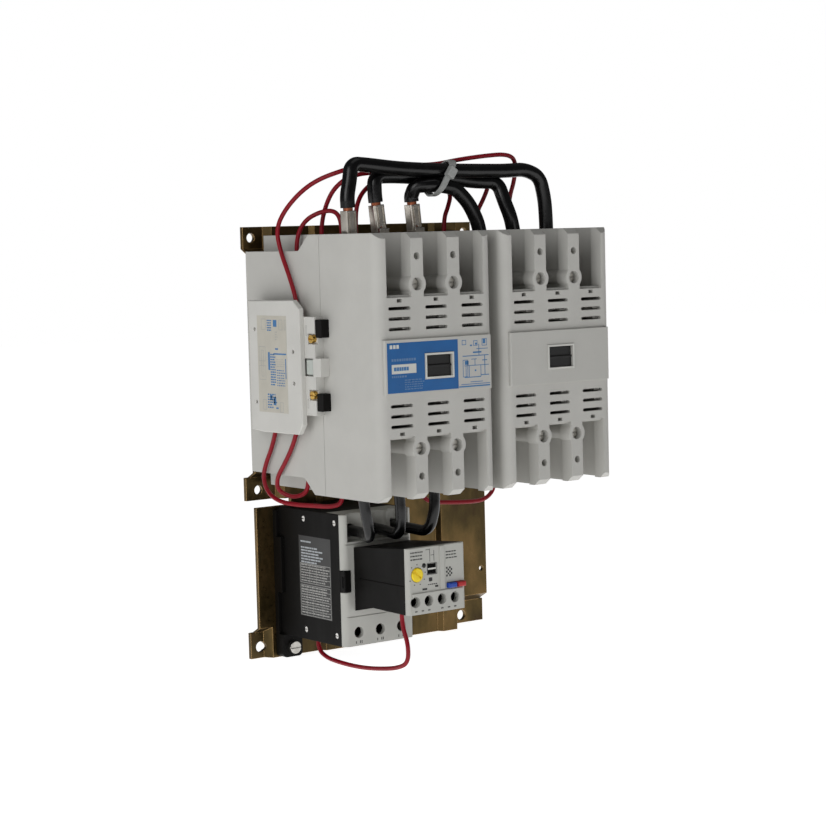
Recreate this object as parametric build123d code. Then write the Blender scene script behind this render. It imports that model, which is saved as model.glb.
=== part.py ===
from build123d import *
import math
import os

# Transfer contactor assembly: two three-pole contactors side by side on one formed steel
# plate, an electronic overload relay below the left one, power cables and control wires.
# X right, Y into the wall, Z up, millimetres. The wall face is Y = 0. The origin is the
# centre of the four ear holes that hold the upper part of the plate.

# Base plate
SHEET = 2.8
EAR_FRONT = -SHEET
CHANNEL_FRONT = -8.7
PLATEAU_FRONT = -12.2
PLATE_HALF = 93.0
PLATE_TOP = 88.0
PLATE_BOTTOM = -190.2
EAR_HALF = 96.3
EAR_HOLE_X = 87.0
EAR_HOLE_Z = 81.0
STEP_RUN = 2.4
PLATEAUS = ((-43.5, 4.0), (54.5, PLATE_HALF + 4))
RELIEF_Z = (-91.8, -87.5)
RELIEF_INNER = 66.0
FOOT_HOLES = ((-89.0, -183.0), (77.5, -183.0))
EAR_HOLE_R = 3.0
FOOT_HOLE_R = 3.5

# Contactor
CASE_WIDTH = 88.0
CASE_BOTTOM = -77.0
CASE_TOP = 82.2
CASE_REAR = PLATEAU_FRONT
CASE_SEAM = -92.8
CASE_FRONT = -150.6
CASE_MID_Z = (CASE_BOTTOM + CASE_TOP) / 2
WALL = 2.5
FRONT_WALL = 2.8
CASE_ROUND = 6.4
POLE_PITCH = 27.5
FIN_WIDTH = 9.2
SLOT_WIDTH = POLE_PITCH - FIN_WIDTH
SLOT_DEPTH = 9.5
SLOT_END = 41.4
END_CHAMFER = (3.5, 4.5)
BARRIER = 2.6
TRAVEL = 3.9
CENTRES = {"left": -53.3, "right": 42.9}

# Corner notches that leave the plate's ear screws in reach
NOTCH_WIDTH = 14.0
NOTCH_DEPTH = 9.8
NOTCH_Y = (-70.8, -81.6)

# Contact system
DECK = (-96.0, -90.0)
BAR_THICK = 3.0
BAR_FRONT = DECK[0] - BAR_THICK
TIP_R = 4.0
TIP_THICK = 1.2
TIP_Z = 17.0
BRIDGE_REAR = BAR_FRONT - TIP_THICK - TRAVEL - 0.1 - TIP_THICK
BRIDGE_THICK = 2.2
CONDUCTOR_Y = -109.0
CONDUCTOR_R = 3.0
CABLE_R = 4.5
LOAD_CABLE_R = 3.4
CLAMP_SPAN = (58.0, 72.0)
LINE_END = CASE_MID_Z + 72.6
LOAD_END = CASE_MID_Z - 72.6
SCREW_X = POLE_PITCH / 2
SCREW_Z = 49.0

# Magnet
CORE_REAR = -15.4
CORE_FACE = -44.0
ARMATURE_FACE = CORE_FACE - TRAVEL - 0.1
ARMATURE_FRONT = -62.0
MAGNET_X = 12.0

# Overload relay
RELAY_X = (-78.0, -24.0)
RELAY_MID_X = sum(RELAY_X) / 2
RELAY_Z = (-174.5, -91.7)
RELAY_REAR = PLATEAU_FRONT
RELAY_FRONT = -82.5
RELAY_SPLIT = -62.0
RELAY_PITCH = 16.6
CHEEK = 2.0
ENTRY_Z = -102.5
LOAD_Z = -166.0
MODULE_X = (-70.0, -26.0)
MODULE_FRONT = -134.5
FACE_FRONT = -138.0
MODULE_Z = (-148.9, -108.2)
DIAL_AT = (-63.2, -124.5)
CONTROL_X = (-65.2, -55.3, -45.2, -35.1)
RESET_AT = (-37.2, -133.4)
TEST_AT = (-30.1, -133.4)

# Auxiliary contact block on the left side of the left contactor
AUX_INNER = CENTRES["left"] - CASE_WIDTH / 2
AUX_BODY = AUX_INNER - 6.3
AUX_PLATE = AUX_BODY - 3.4

# Control wires
WIRE_R = 1.4

PARTS = {}


def box(x, y, z):
    """Box from three (low, high) pairs, in any order within a pair."""
    size = [abs(pair[1] - pair[0]) for pair in (x, y, z)]
    middle = [(pair[0] + pair[1]) / 2 for pair in (x, y, z)]
    return Pos(*middle) * Box(*size)


def rod_y(x, z, y, radius):
    """Cylinder along Y between the two values in y."""
    return Pos(x, (y[0] + y[1]) / 2, z) * Rot(90, 0, 0) * Cylinder(radius, abs(y[1] - y[0]))


def rod_x(y, z, x, radius):
    """Cylinder along X between the two values in x."""
    return Pos((x[0] + x[1]) / 2, y, z) * Rot(0, 90, 0) * Cylinder(radius, abs(x[1] - x[0]))


def rod_z(x, y, z, radius):
    """Cylinder along Z between the two values in z."""
    return Pos(x, y, (z[0] + z[1]) / 2) * Cylinder(radius, abs(z[1] - z[0]))


def prism_x(points, x):
    """Closed outline of (y, z) points, extruded along X between the two values in x."""
    outline = make_face(Polyline(*[(x[0], y, z) for y, z in points], close=True))
    return extrude(outline, amount=x[1] - x[0], dir=(1, 0, 0))


def prism_z(points, z):
    """Closed outline of (x, y) points, extruded along Z between the two values in z."""
    outline = make_face(Polyline(*[(x, y, z[0]) for x, y in points], close=True))
    return extrude(outline, amount=z[1] - z[0], dir=(0, 0, 1))


def pocket(x, z):
    """Tapered hollow whose floor is the ear front and which widens towards the viewer."""
    depth = 14.0 + EAR_FRONT
    grow = 0.55 * depth
    floor = Plane(origin=((x[0] + x[1]) / 2, EAR_FRONT, (z[0] + z[1]) / 2), x_dir=(1, 0, 0), z_dir=(0, -1, 0))
    wide = floor.offset(depth)
    near = floor * Rectangle(x[1] - x[0], z[1] - z[0])
    far = wide * Rectangle(x[1] - x[0] + 2 * grow, z[1] - z[0] + 2 * grow)
    return loft([near.face(), far.face()])


def on_both(maker):
    """The same pieces for the left and the right contactor, as one group."""
    return Compound(children=[solid for centre in CENTRES.values() for solid in maker(centre).solids()])


def save(name, shape):
    """Keep the node and write it as a STEP file."""
    solids = shape.solids() if hasattr(shape, "solids") else [shape]
    body = solids[0] if len(solids) == 1 else Compound(children=list(solids))
    body.label = name
    PARTS[name] = body
    export_step(body, f"parts/{name}.step")


# ---------------------------------------------------------------- base plate

def plate_block():
    """Everything behind the front skin of the plate: two raised plateaus and two channels."""
    back = 20.0
    low, high = PLATEAUS
    outline = [
        (-PLATE_HALF, back),
        (-PLATE_HALF, CHANNEL_FRONT),
        (low[0] - STEP_RUN, CHANNEL_FRONT),
        (low[0], PLATEAU_FRONT),
        (low[1], PLATEAU_FRONT),
        (low[1] + STEP_RUN, CHANNEL_FRONT),
        (high[0] - STEP_RUN, CHANNEL_FRONT),
        (high[0], PLATEAU_FRONT),
        (PLATE_HALF, PLATEAU_FRONT),
        (PLATE_HALF, back),
    ]
    block = prism_z(outline, (PLATE_BOTTOM, PLATE_TOP))
    ears = {
        "top_left": ((-PLATE_HALF, -78.0), (74.0, PLATE_TOP)),
        "top_right": ((78.0, PLATE_HALF), (74.0, PLATE_TOP)),
        "mid_left": ((-EAR_HALF, -74.0), (RELIEF_Z[1], -72.5)),
        "mid_right": ((74.0, EAR_HALF), (RELIEF_Z[1], -72.5)),
        "low_left": ((-EAR_HALF, -86.5), (PLATE_BOTTOM, -173.3)),
        "low_right": ((71.5, EAR_HALF), (-188.4, -173.3)),
    }
    for x, z in ears.values():
        block += box(x, (EAR_FRONT, back), z)
    for (x0, x1), (z0, z1) in ears.values():
        x0 = x0 - 30 if x0 < -90 else x0
        x1 = x1 + 30 if x1 > 90 else x1
        z1 = z1 + 30 if z1 == PLATE_TOP else z1
        z0 = z0 - 30 if z0 < -180 else z0
        block -= pocket((x0, x1), (z0, z1))
    return block


def base_plate():
    block = plate_block()
    sheet = block - Pos(0, SHEET, 0) * block
    sheet &= box((-120, 120), (-30, 0), (PLATE_BOTTOM, PLATE_TOP))
    for side in (-1, 1):
        sheet -= box((side * RELIEF_INNER, side * 120), (-30, 1), RELIEF_Z)
    sheet -= box((71.5, 120), (-30, 1), (PLATE_BOTTOM - 1, -188.4))
    for side in (-1, 1):
        sheet -= rod_y(side * EAR_HOLE_X, EAR_HOLE_Z, (-30, 1), EAR_HOLE_R)
        sheet -= rod_y(side * EAR_HOLE_X, -EAR_HOLE_Z, (-30, 1), EAR_HOLE_R)
    for x, z in FOOT_HOLES:
        sheet -= rod_y(x, z, (-30, 1), FOOT_HOLE_R)
    sheet -= rod_y(88.5, -150.5, (-30, 1), 1.8)
    return max(sheet.solids(), key=lambda solid: solid.volume)


# ---------------------------------------------------------------- contactors

def pole_centres(centre):
    return [centre + step * POLE_PITCH for step in (-1, 0, 1)]


def notch(centre, side, end, grow):
    """Corner notch of the rear case, or the same space grown by the wall thickness."""
    tip = CASE_TOP if end > 0 else CASE_BOTTOM
    floor = tip - end * (NOTCH_DEPTH + grow)
    over = tip + end * 1.0
    points = [
        (CASE_REAR + 1, over),
        (CASE_REAR + 1, floor),
        (NOTCH_Y[0] - grow, floor),
        (NOTCH_Y[1] - grow, tip),
        (NOTCH_Y[1] - grow, over),
    ]
    outer = centre + side * (CASE_WIDTH / 2 + 1)
    inner = centre + side * (CASE_WIDTH / 2 - NOTCH_WIDTH - grow)
    return prism_x(points, (min(outer, inner), max(outer, inner)))


def contactor_base(centre):
    """Rear case: a shell open to the front, with the deck that carries the fixed contacts."""
    half = CASE_WIDTH / 2
    corners = [(side, end) for side in (-1, 1) for end in (-1, 1)]
    shell = box((centre - half, centre + half), (CASE_SEAM, CASE_REAR), (CASE_BOTTOM, CASE_TOP))
    hollow = box(
        (centre - half + WALL, centre + half - WALL),
        (CASE_SEAM, CASE_REAR - 3.0),
        (CASE_BOTTOM + WALL, CASE_TOP - WALL),
    )
    for side, end in corners:
        shell -= notch(centre, side, end, 0)
        hollow -= notch(centre, side, end, WALL)
    shell -= hollow
    shell += box(
        (centre - half + WALL, centre + half - WALL),
        (CASE_SEAM, DECK[1]),
        (CASE_BOTTOM + WALL, CASE_TOP - WALL),
    )
    shell += box(
        (centre - half + WALL + 0.3, centre + half - WALL - 0.3),
        (DECK[0], CASE_SEAM),
        (CASE_BOTTOM + WALL, CASE_TOP - WALL),
    )
    shell -= box((centre - 9, centre + 9), (-100, -80), (CASE_MID_Z - 11, CASE_MID_Z + 11))
    for side, end in corners:
        shell -= rod_y(centre + side * SCREW_X, CASE_MID_Z + end * SCREW_Z, (-100, -80), 1.75)
    for end in (-1, 1):
        middle = CASE_MID_Z + end * 36
        shell += box((centre - 30, centre - 18), (CASE_REAR, CHANNEL_FRONT), (middle - 6, middle + 6))
    return shell


def vent(x, z):
    """Round-ended slit through the front wall."""
    return Pos(x, CASE_FRONT, z) * Rot(90, 0, 0) * extrude(SlotOverall(16.5, 1.95), amount=8, both=True)


def cover_blank(centre):
    half = CASE_WIDTH / 2
    drop, back = END_CHAMFER
    profile = [
        (CASE_SEAM, CASE_BOTTOM),
        (CASE_SEAM, CASE_TOP),
        (CASE_FRONT + back, CASE_TOP),
        (CASE_FRONT, CASE_TOP - drop),
        (CASE_FRONT, CASE_BOTTOM + drop),
        (CASE_FRONT + back, CASE_BOTTOM),
    ]
    blank = prism_x(profile, (centre - half, centre + half))
    upright = [edge for edge in blank.edges().filter_by(Axis.Z) if edge.center().Y < CASE_FRONT + 1]
    return fillet(upright, CASE_ROUND)


def contactor_cover(centre):
    """Front cover: three terminal slots above and below, vents, and the arc chambers behind."""
    half = CASE_WIDTH / 2
    cover = cover_blank(centre)
    inside = (centre - half + WALL, centre + half - WALL)
    slot_back = CASE_FRONT + SLOT_DEPTH
    wall_back = CASE_FRONT + FRONT_WALL
    chamber = SLOT_END - WALL
    cover -= box(inside, (wall_back, CASE_SEAM), (CASE_MID_Z - chamber, CASE_MID_Z + chamber))
    for end in (-1, 1):
        near = CASE_MID_Z + end * SLOT_END
        far = CASE_MID_Z + end * 90
        cover -= box(inside, (slot_back, CASE_SEAM), (near, far))
        for x in pole_centres(centre):
            cover -= box((x - SLOT_WIDTH / 2, x + SLOT_WIDTH / 2), (CASE_FRONT - 1, slot_back), (near, far))
            cover -= box((x - 5.4, x + 5.4), (BAR_FRONT - 0.4, CASE_SEAM), (near - end * 4, near + end))
            cover -= box((x - 1.8, x + 1.8), (CASE_FRONT - 1, CASE_FRONT + 5), (near - end * 2.9, near - end * 0.9))
            for row in range(3):
                cover -= vent(x, CASE_MID_Z + end * (35.0 - 6.1 * row))
    for side in (-1, 1):
        x = centre + side * SCREW_X
        wall = (x - BARRIER / 2, x + BARRIER / 2)
        cover += box(wall, (wall_back, CASE_SEAM), (CASE_MID_Z - chamber, CASE_MID_Z + chamber))
        cover -= box((x - 4, x + 4), (-121, CASE_SEAM), (CASE_MID_Z - 8.2, CASE_MID_Z + 8.2))
        for end in (-1, 1):
            z = CASE_MID_Z + end * SCREW_Z
            tip = CASE_TOP if end > 0 else CASE_BOTTOM
            cover += box(wall, (slot_back, DECK[0]), (CASE_MID_Z + end * SLOT_END, tip))
            cover += rod_y(x, z, (CASE_FRONT, slot_back), 6.4)
            cover += rod_y(x, z, (slot_back, DECK[0]), 4.4)
            cover -= rod_y(x, z, (CASE_FRONT - 1, CASE_FRONT + 6), 3.9)
            cover -= rod_y(x, z, (CASE_FRONT, DECK[0]), 1.9)
            cover -= rod_y(x, CASE_MID_Z + end * 65.6, (CASE_FRONT - 1, CASE_FRONT + 5), 2.2)
    for end in (-1, 1):
        near = CASE_MID_Z + end * SLOT_END
        for x in pole_centres(centre):
            span = (x - SLOT_WIDTH / 2, x + SLOT_WIDTH / 2)
            cover += box(span, (CASE_FRONT + 2.4, slot_back), (near, near + end * 1.3))
    cover -= box(inside, (DECK[0], CASE_SEAM + 1), (CASE_BOTTOM - 1, CASE_TOP + 1))
    cover -= box((centre - 9.9, centre + 9.9), (-160, -140), (CASE_MID_Z - 7.1, CASE_MID_Z + 6.7))
    groove = box((centre - 50, centre + 50), (CASE_SEAM - 0.3, CASE_SEAM + 1), (CASE_BOTTOM - 1, CASE_TOP + 1))
    groove -= box(
        (centre - half + 0.6, centre + half - 0.6),
        (CASE_SEAM - 1, CASE_SEAM + 2),
        (CASE_BOTTOM + 0.6, CASE_TOP - 0.6),
    )
    return cover - groove


def front_panel(centre):
    """Centre panel: a raised band across the cover that frames the indicator window."""
    half = CASE_WIDTH / 2 - 3.6
    middle = CASE_MID_Z + 0.2
    low, high = middle - 16.4, middle + 16.4
    panel = box((centre - half, centre + half), (CASE_FRONT - 1.7, CASE_FRONT + 2.4), (low, high))
    upright = [edge for edge in panel.edges().filter_by(Axis.Z) if edge.center().Y < CASE_FRONT]
    panel = fillet(upright, 0.9)
    panel -= cover_blank(centre)
    panel += box((centre - 10.9, centre + 10.9), (CASE_FRONT - 2.3, CASE_FRONT - 1), (middle - 7.9, middle + 7.4))
    panel -= box((centre - 9.7, centre + 9.7), (-160, -140), (middle - 6.8, middle + 6.2))
    return max(panel.solids(), key=lambda solid: solid.volume)


def crosshead(centre):
    """Moving contact carrier, with the indicator head that shows in the window."""
    z = CASE_MID_Z
    head = [
        (-140.0, z - 6.4),
        (-151.3, z - 6.4),
        (-151.3, z - 0.9),
        (-152.0, z - 0.5),
        (-152.0, z + 0.3),
        (-150.9, z + 0.7),
        (-150.9, z + 6.0),
        (-140.0, z + 6.0),
    ]
    carrier = prism_x(head, (centre - 9.35, centre + 9.35))
    carrier += box((centre - 6, centre + 6), (-140, -114), (z - 5, z + 5))
    carrier += box((centre - 34, centre + 34), (-114, -103), (z - 7.5, z + 7.5))
    carrier += box((centre - 8, centre + 8), (-103, -68), (z - 10, z + 10))
    carrier += box((centre - MAGNET_X, centre + MAGNET_X), (-68, ARMATURE_FRONT), (z - 14, z + 14))
    for x in pole_centres(centre):
        carrier -= box((x - 4.8, x + 4.8), (-112, BRIDGE_REAR), (z - 12, z + 12))
    return carrier


def bridge_contacts(centre):
    """One moving bar for each pole, with a tip at each end."""
    shapes = []
    for x in pole_centres(centre):
        bar = box((x - 4.5, x + 4.5), (BRIDGE_REAR - BRIDGE_THICK, BRIDGE_REAR), (CASE_MID_Z - 21.5, CASE_MID_Z + 21.5))
        for end in (-1, 1):
            bar += rod_y(x, CASE_MID_Z + end * TIP_Z, (BRIDGE_REAR, BRIDGE_REAR + TIP_THICK), TIP_R - 0.2)
        shapes.append(bar.solid())
    return Compound(children=shapes)


def spring_y(x, z, y, radius, wire, turns):
    """Compression spring along Y between the two values in y."""
    length = abs(y[1] - y[0]) - 2 * wire
    start = max(y) - wire
    path = Pos(x, start, z) * Rot(90, 0, 0) * Helix(length / turns, length, radius)
    section = Plane(origin=path @ 0, z_dir=path % 0) * Circle(wire)
    return sweep(section, path)


def fixed_contacts(centre):
    """Copper bars from the terminals to the contact tips: three line and three load bars."""
    shapes = []
    for x in pole_centres(centre):
        for end in (-1, 1):
            inner = CASE_MID_Z + end * 12.5
            outer = CASE_MID_Z + end * 75.5
            bar = box((x - 5, x + 5), (BAR_FRONT, DECK[0]), (inner, outer))
            bar += rod_y(x, CASE_MID_Z + end * TIP_Z, (BAR_FRONT - TIP_THICK, BAR_FRONT), TIP_R)
            shapes.append(bar.solid())
    return Compound(children=shapes)


def magnet_core(centre):
    """Fixed E-shaped core in the rear of the case."""
    z = CASE_MID_Z
    x = (centre - MAGNET_X, centre + MAGNET_X)
    core = box(x, (CORE_REAR + 0.2, -25), (z - 33, z + 33))
    core += box(x, (-25, CORE_FACE), (z - 6, z + 6))
    for end in (-1, 1):
        core += box(x, (-25, CORE_FACE), (z + end * 22, z + end * 33))
    return core


def armature(centre):
    """Moving E-shaped magnet half behind the crosshead."""
    z = CASE_MID_Z
    x = (centre - MAGNET_X, centre + MAGNET_X)
    iron = box(x, (ARMATURE_FRONT, -54), (z - 33, z + 33))
    for end in (-1, 1):
        iron += box(x, (-54, ARMATURE_FACE), (z + end * 22, z + end * 33))
    iron += box(x, (-54, ARMATURE_FACE), (z - 6, z + 6))
    return iron


def coil(centre):
    """Winding with its two bobbin cheeks, round the core's centre leg."""
    z = CASE_MID_Z
    winding = box((centre - 22, centre + 22), (-41.5, -27.2), (z - 17.5, z + 17.5))
    winding = fillet(winding.edges().filter_by(Axis.Y), 4)
    for y in ((-43.6, -41.5), (-27.2, -25.2)):
        winding += box((centre - 24, centre + 24), y, (z - 20.5, z + 20.5))
    return winding - box((centre - 12.3, centre + 12.3), (-50, -20), (z - 6.3, z + 6.3))


def return_springs(centre):
    """Pair of springs that push the armature off the core."""
    shapes = [
        spring_y(centre, CASE_MID_Z + end * 14, (-54, -43.6), 3.0, 0.55, 4).solid()
        for end in (-1, 1)
    ]
    return Compound(children=shapes)


def arc_chutes(centre):
    """Stacks of steel plates in fibre sides behind the vents, one at each end of each pole."""
    shapes = []
    for x in pole_centres(centre):
        for end in (-1, 1):
            stack = None
            for step in range(4):
                near = CASE_MID_Z + end * (22.2 + 3.05 * step)
                plate = box((x - 8.2, x + 8.2), (-146.5, -114), (near, near + end * 1.2))
                plate -= box((x - 5, x + 5), (-147, -141), (near - 2, near + 2))
                plate -= rod_z(x, -114, (near - 3, near + 3), 4.0)
                stack = plate if stack is None else stack + plate
            for side in (-1, 1):
                stack += box(
                    (x + side * 8.2, x + side * 9.2),
                    (-147, -114),
                    (CASE_MID_Z + end * 20, CASE_MID_Z + end * 36),
                )
            shapes.append(stack.solid())
    return Compound(children=shapes)


def clamp_places():
    """Centre and end of each pressure clamp; box lugs stand on the left line bars instead."""
    ends = {"left": (-1,), "right": (-1, 1)}
    return [(x, end) for side, centre in CENTRES.items() for x in pole_centres(centre) for end in ends[side]]


def terminal_clamps():
    """Pressure clamps on the fixed bars, bored for the stripped conductors."""
    shapes = []
    for x, end in clamp_places():
        z = [CASE_MID_Z + end * reach for reach in CLAMP_SPAN]
        body = box((x - 7, x + 7), (-115.5, BAR_FRONT), z)
        body = fillet(body.edges().filter_by(Axis.Z), 1.2)
        body -= rod_z(x, CONDUCTOR_Y, (z[0], z[1] + end), CONDUCTOR_R)
        body -= rod_y(x, CASE_MID_Z + end * 65, (-116, CONDUCTOR_Y), 2.4)
        shapes.append(body.solid())
    return Compound(children=shapes)


def slotted_screw_y(x, z, y_head, y_tip, head_r, head_h, shank_r):
    """Slotted screw along Y with its head towards the viewer."""
    screw = rod_y(x, z, (y_head, y_head + head_h), head_r)
    screw = chamfer(screw.edges().filter_by(GeomType.CIRCLE).sort_by(Axis.Y)[0], 0.35)
    screw += rod_y(x, z, (y_head + head_h, y_tip), shank_r)
    screw -= box((x - head_r, x + head_r), (y_head - 1, y_head + 0.9), (z - 0.5, z + 0.5))
    return screw.solid()


def terminal_screws():
    """Clamping screws of the pressure clamps, and the screws that hold the lugs' tangs."""
    tip = CONDUCTOR_Y - CONDUCTOR_R
    shapes = [
        slotted_screw_y(x, CASE_MID_Z + end * 65, -121.5, tip, 4.0, 3.2, 2.4)
        for x, end in clamp_places()
    ]
    for x in pole_centres(CENTRES["left"]):
        shapes.append(slotted_screw_y(x, LUG_SCREW_Z, BAR_FRONT - 5.2, BAR_FRONT, 4.0, 3.2, 2.4))
    return Compound(children=shapes)


def cover_screws():
    """Four long screws through each cover into its rear case."""
    shapes = []
    for centre in CENTRES.values():
        for side in (-1, 1):
            for end in (-1, 1):
                x = centre + side * SCREW_X
                z = CASE_MID_Z + end * SCREW_Z
                head = CASE_FRONT + 6 - 2.4
                shapes.append(slotted_screw_y(x, z, head, DECK[1], 3.4, 2.4, 1.75))
    return Compound(children=shapes)


# Box lugs on the left contactor: foot (y, z), collar height and lean towards -X in degrees.
# The first stands on the front of its bar, the other two rise over the case's top edge.
LUGS = (
    ((-102.7, 76.0), 20.0, 2.6),
    ((-95.4, 83.0), 16.3, 6.6),
    ((-95.4, 83.0), 16.3, 5.8),
)
LUG_SIZE = (8.0, 7.4)
LUG_SCREW_Z = 63.0
TANG_Z = 57.0
STRANDS = 1.8


def lug_frame(index):
    (y, z), _, left = LUGS[index]
    return Pos(pole_centres(CENTRES["left"])[index], y, z) * Rot(0, -left, 0)


def box_lugs():
    """Tinned collar lugs above the left contactor, each with a tang screwed to its line bar."""
    shapes = []
    width, depth = LUG_SIZE
    for index, ((_, foot), height, _) in enumerate(LUGS):
        collar = Pos(0, 0, height / 2) * Box(width, depth, height)
        collar = fillet(collar.edges().filter_by(Axis.Z), 1.4)
        collar -= Pos(0, 0, height / 2) * Cylinder(CONDUCTOR_R, height + 10)
        for x in (-2.1, 2.1):
            collar -= Pos(x, -depth / 2, height / 2 + 0.8) * Box(0.9, 1.5, height - 4)
        collar -= Pos(0, -depth / 2, 2.8) * Box(5.1, 1.5, 0.9)
        x = pole_centres(CENTRES["left"])[index]
        tang = box((x - 3.6, x + 3.6), (BAR_FRONT - 2.0, BAR_FRONT), (TANG_Z, foot + 2.0))
        tang -= rod_y(x, LUG_SCREW_Z, (BAR_FRONT - 3, BAR_FRONT + 1), 2.4)
        tang -= lug_frame(index) * Pos(0, 0, 5) * Cylinder(CONDUCTOR_R, 30)
        shapes.append((lug_frame(index) * collar + tang).solid())
    return Compound(children=shapes)


# ---------------------------------------------------------------- power cables

def along(frame, z):
    """Point on a lug's axis at height z above its foot."""
    return tuple((frame * Pos(0, 0, z)).position)


def corner_radii(points, share=0.45):
    """Largest arc at each corner: a share of the shorter run over the tangent of half the turn."""
    radii = []
    for before, here, after in zip(points, points[1:], points[2:]):
        first = Vector(*here) - Vector(*before)
        second = Vector(*after) - Vector(*here)
        half_turn = math.radians(first.get_angle(second)) / 2
        radii.append(share * min(first.length, second.length) / math.tan(half_turn))
    return radii


def tube(points, radius):
    """Round tube along straight runs joined by tangent arcs."""
    radii = corner_radii(points)
    path = FilletPolyline(*points, radius=radii)
    section = Plane(origin=path @ 0, z_dir=path % 0) * Circle(radius)
    solid = sweep(section, path, transition=Transition.ROUND).solid()
    return solid, path, radii


def lug_start(index, run):
    """First two points of a line cable: just above its lug's top, and one run further up."""
    top = LUGS[index][1] + STRANDS
    return [along(lug_frame(index), top), along(lug_frame(index), top + run)]


POWER_ROUTES = {
    "power_cable_line_a": lug_start(0, 7.2) + [
        (-79.4, -101.7, 113.5),
        (-77.0, -100.6, 124.4),
        (-65.0, -100.6, 123.6),
        (-42.0, -101.6, 121.2),
        (-10.7, -103.6, 119.8),
        (20.0, -106.5, 119.4),
        (38.0, -107.8, 119.3),
        (54.0, -108.0, 120.2),
        (66.0, -108.5, 115.5),
        (69.6, -109.0, 101.0),
        (70.4, -109.0, 86.0),
        (70.4, -109.0, LINE_END),
    ],
    "power_cable_line_b": lug_start(1, 4.5) + [
        (-56.0, -95.3, 116.6),
        (-43.5, -93.9, 117.0),
        (-28.0, -92.8, 116.6),
        (-10.7, -94.6, 115.1),
        (6.0, -95.6, 115.2),
        (20.0, -98.4, 113.0),
        (35.6, -103.0, 112.6),
        (37.2, -107.0, 101.0),
        (40.6, -109.2, 90.0),
        (42.9, -109.0, 81.0),
        (42.9, -109.0, LINE_END),
    ],
    "power_cable_line_c": lug_start(2, 3.2) + [
        (-27.6, -99.0, 110.6),
        (-18.8, -104.0, 111.0),
        (-10.7, -104.4, 110.5),
        (-1.0, -105.5, 108.8),
        (8.0, -107.6, 99.5),
        (13.6, -108.8, 88.0),
        (15.4, -109.0, 80.5),
        (15.4, -109.0, LINE_END),
    ],
}


def load_route(index):
    """Cable from a load clamp down and back into the relay's entry."""
    x = pole_centres(CENTRES["left"])[index]
    entry = RELAY_MID_X + (index - 1) * RELAY_PITCH
    aside = entry - x
    return [
        (x, CONDUCTOR_Y, LOAD_END),
        (x, CONDUCTOR_Y, -80.0),
        (x + 0.12 * aside, CONDUCTOR_Y - 0.8, -90.5),
        (x + 0.45 * aside, CONDUCTOR_Y + 1.6, -104.4),
        (entry, -88.0, ENTRY_Z),
        (entry, -74.0, ENTRY_Z),
    ]


for number in range(3):
    POWER_ROUTES[f"power_cable_load_{'abc'[number]}"] = load_route(number)


def bare_conductors():
    """Stripped copper ends of the power cables inside their lugs, clamps and entries."""
    shapes = []
    for index, (_, height, _) in enumerate(LUGS):
        rod = Pos(0, 0, (height + STRANDS) / 2) * Cylinder(CONDUCTOR_R, height + STRANDS)
        shapes.append((lug_frame(index) * rod).solid())
    for x in pole_centres(CENTRES["right"]):
        shapes.append(rod_z(x, CONDUCTOR_Y, (CASE_MID_Z + 59, LINE_END), CONDUCTOR_R).solid())
    for index, x in enumerate(pole_centres(CENTRES["left"])):
        shapes.append(rod_z(x, CONDUCTOR_Y, (LOAD_END, CASE_MID_Z - 59), CONDUCTOR_R).solid())
        entry = RELAY_MID_X + (index - 1) * RELAY_PITCH
        shapes.append(rod_y(entry, ENTRY_Z, (-74.0, RELAY_SPLIT), CONDUCTOR_R).solid())
    return Compound(children=shapes)


def cable_tie():
    """Nylon strap that leans round the three line cables, with its head at the front."""
    centres = ((-103.6, 119.8), (-94.6, 115.1), (-104.4, 110.5))
    middle = Pos(-10.7, -101.0, 115.1) * Rot(0, 35, 0)

    def wrap(radius):
        rounds = [Pos(y, z) * Circle(radius) for y, z in centres]
        outline = make_face(make_hull([edge for disc in rounds for edge in disc.edges()]).edges())
        return extrude(Plane.YZ.offset(-40) * outline, amount=60)

    strap = (wrap(CABLE_R + 2.2) - wrap(CABLE_R + 1.1)) & (middle * Box(3.8, 60, 60))
    head = middle * Pos(0, -10.4, 4.0) * Box(5.6, 4.6, 7.2)
    head = fillet(head.edges(), 0.9)
    head -= wrap(CABLE_R + 1.1)
    return (strap + head).solid()


# ---------------------------------------------------------------- overload relay

def relay_entries():
    return [RELAY_MID_X + step * RELAY_PITCH for step in (-1, 0, 1)]


def relay_case():
    """Black rear housing with side cheeks that run forward over the cover."""
    case = box(RELAY_X, (RELAY_SPLIT, RELAY_REAR), RELAY_Z)
    case -= box(
        (RELAY_X[0] + 2.5, RELAY_X[1] - 2.5),
        (RELAY_SPLIT, RELAY_REAR - 2.5),
        (RELAY_Z[0] + 2.5, RELAY_Z[1] - 2.5),
    )
    for x in ((RELAY_X[0], RELAY_X[0] + CHEEK), (RELAY_X[1] - CHEEK, RELAY_X[1])):
        case += box(x, (-78.3, RELAY_SPLIT), RELAY_Z)
    for y in (-39.5, -73.0):
        for z in (-97.3, -168.3):
            case -= rod_x(y, z, (RELAY_X[0] - 1, RELAY_X[0] + CHEEK), 1.9)
    return case


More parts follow.
